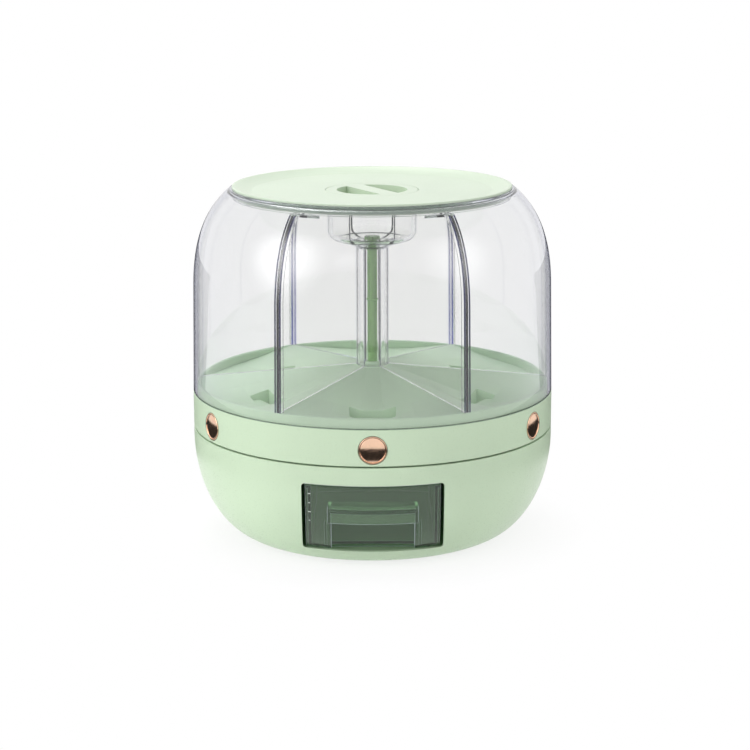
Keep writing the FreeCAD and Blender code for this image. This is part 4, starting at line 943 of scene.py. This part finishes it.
class DISPENSER_OT_drawer(StepOperator, bpy.types.Operator):
    """Finishes the smoky drawer and sets the level marks on its front."""
    bl_idname = "dispenser.drawer"
    bl_label = "Drawer"

    def execute(self, context):
        dress("drawer", finish_named("smoky_moulding"))
        size, ink = sizes(), finish_named("level_mark_ink")
        bar = (size.mark_length, size.mark_width, size.mark_thickness)
        low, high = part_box("drawer")
        places, turns = [], []
        for k in range(size.mark_count):
            height = high.z - size.mark_drop - k * size.mark_step
            where, face = self.front_at(low.x + size.mark_inset, height)
            side = Vector((-face.y, face.x, 0)).normalized()
            turns.append(Matrix((side, face.cross(side), face)).transposed().to_euler())
            places.append(where)
        mesh = bpy.data.meshes.new("mark_places")
        mesh.from_pydata(places, [], [])
        mesh.attributes.new("turn", "FLOAT_VECTOR", "POINT").data.foreach_set(
            "vector", [value for turn in turns for value in turn])
        bars = grown(mesh, tree_named("level_marks"), bar=bar, short=size.mark_short, material=ink)
        marks = place("level_marks", bars, ink)
        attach(marks, "drawer")
        return {"FINISHED"}

    def front_at(self, x, z):
        """The point of the drawer's front at a place, and the way it faces."""
        in_front = -0.3
        hit, where, face, _ = NODES["drawer"].ray_cast(Vector((x, in_front, z)), Vector((0, 1, 0)))
        if not hit:
            raise RuntimeError("the drawer's front wasn't found at %.4f, %.4f" % (x, z))
        return where, face


class DISPENSER_OT_inside(StepOperator, bpy.types.Operator):
    """Finishes what is hidden: deck, ball race, gates, springs and screws."""
    bl_idname = "dispenser.inside"
    bl_label = "Inside"

    def execute(self, context):
        gates = ["gate_%d" % (k + 1) for k in range(SECTORS)]
        finishes = {
            "inner_moulding": ["turntable_deck", "valve_plate"],
            "white_nylon": ["spindle", "hub_bush", "ball_cage"] + gates,
            "zinc_plate": ["deck_screws", "housing_screws", "spindle_screws", "carousel_screws",
                           "axle_screw", "axle_washer", "rod_screw"],
            "bright_steel": ["race_balls"],
        }
        for name, nodes in finishes.items():
            for node in nodes:
                dress(node, finish_named(name))
        self.springs(sizes(), finish_named("bright_steel"))
        return {"FINISHED"}

    def springs(self, size, finish):
        """Six wound springs between their posts and the gates."""
        low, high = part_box("return_spring_1")
        wire, axis_z = size.spring_wire, (low.z + high.z) / 2
        long = high.y - low.y - 2 * wire
        mesh = grown(bpy.data.meshes.new("start"), tree_named("wound_spring"), turns=size.spring_turns,
                     radius=(high.x - low.x) / 2 - wire, length=long, wire=wire, material=finish)
        smooth(mesh, 2 * CREASE)
        mesh.transform(Matrix.Translation((0, low.y + wire, axis_z)))
        for k in range(SECTORS):
            node = "return_spring_%d" % (k + 1)
            turn = self.turn_to(node, (low + high) / 2)
            copy = mesh.copy()
            copy.transform(turn)
            spring = stand_for(node, copy, "turntable", "spring_steel", finish)
            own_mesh(spring)

    def turn_to(self, node, first):
        """The turn about the upright axis from the first spring's place to the node's."""
        low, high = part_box(node)
        middle = (low + high) / 2
        return Matrix.Rotation(math.atan2(middle.y, middle.x) - math.atan2(first.y, first.x), 4, "Z")


class DISPENSER_PT_steps(bpy.types.Panel):
    """The dispenser's sizes, colours, studio and steps."""
    bl_idname = "DISPENSER_PT_steps"
    bl_label = "Dispenser"
    bl_space_type = "VIEW_3D"
    bl_region_type = "UI"
    bl_category = "Dispenser"

    def draw(self, context):
        for group in (context.scene.dispenser_sizes, context.scene.dispenser_colours,
                      context.scene.dispenser_studio):
            box = self.layout.box()
            for name in group.__annotations__:
                box.prop(group, name)
        for step in STEPS:
            self.layout.operator(step.bl_idname)


STEPS = (DISPENSER_OT_stage, DISPENSER_OT_base, DISPENSER_OT_buttons, DISPENSER_OT_tray, DISPENSER_OT_dome,
         DISPENSER_OT_divider, DISPENSER_OT_lid, DISPENSER_OT_drawer, DISPENSER_OT_inside)
GROUPS = {"dispenser_sizes": DispenserSizes, "dispenser_colours": DispenserColours,
          "dispenser_studio": DispenserStudio}


def register():
    for group in GROUPS.values():
        bpy.utils.register_class(group)
    for name, group in GROUPS.items():
        setattr(bpy.types.Scene, name, PointerProperty(type=group))
    for step in STEPS + (DISPENSER_PT_steps,):
        bpy.utils.register_class(step)


def unregister():
    for step in reversed(STEPS + (DISPENSER_PT_steps,)):
        bpy.utils.unregister_class(step)
    for name, group in GROUPS.items():
        delattr(bpy.types.Scene, name)
        bpy.utils.unregister_class(group)


def main():
    register()
    bpy.ops.dispenser.stage()
    bpy.ops.dispenser.base()
    bpy.ops.dispenser.buttons()
    bpy.ops.dispenser.tray()
    bpy.ops.dispenser.dome()
    bpy.ops.dispenser.divider()
    bpy.ops.dispenser.lid()
    bpy.ops.dispenser.drawer()
    bpy.ops.dispenser.inside()
    bpy.context.view_layer.update()


if __name__ == "__main__":
    main()
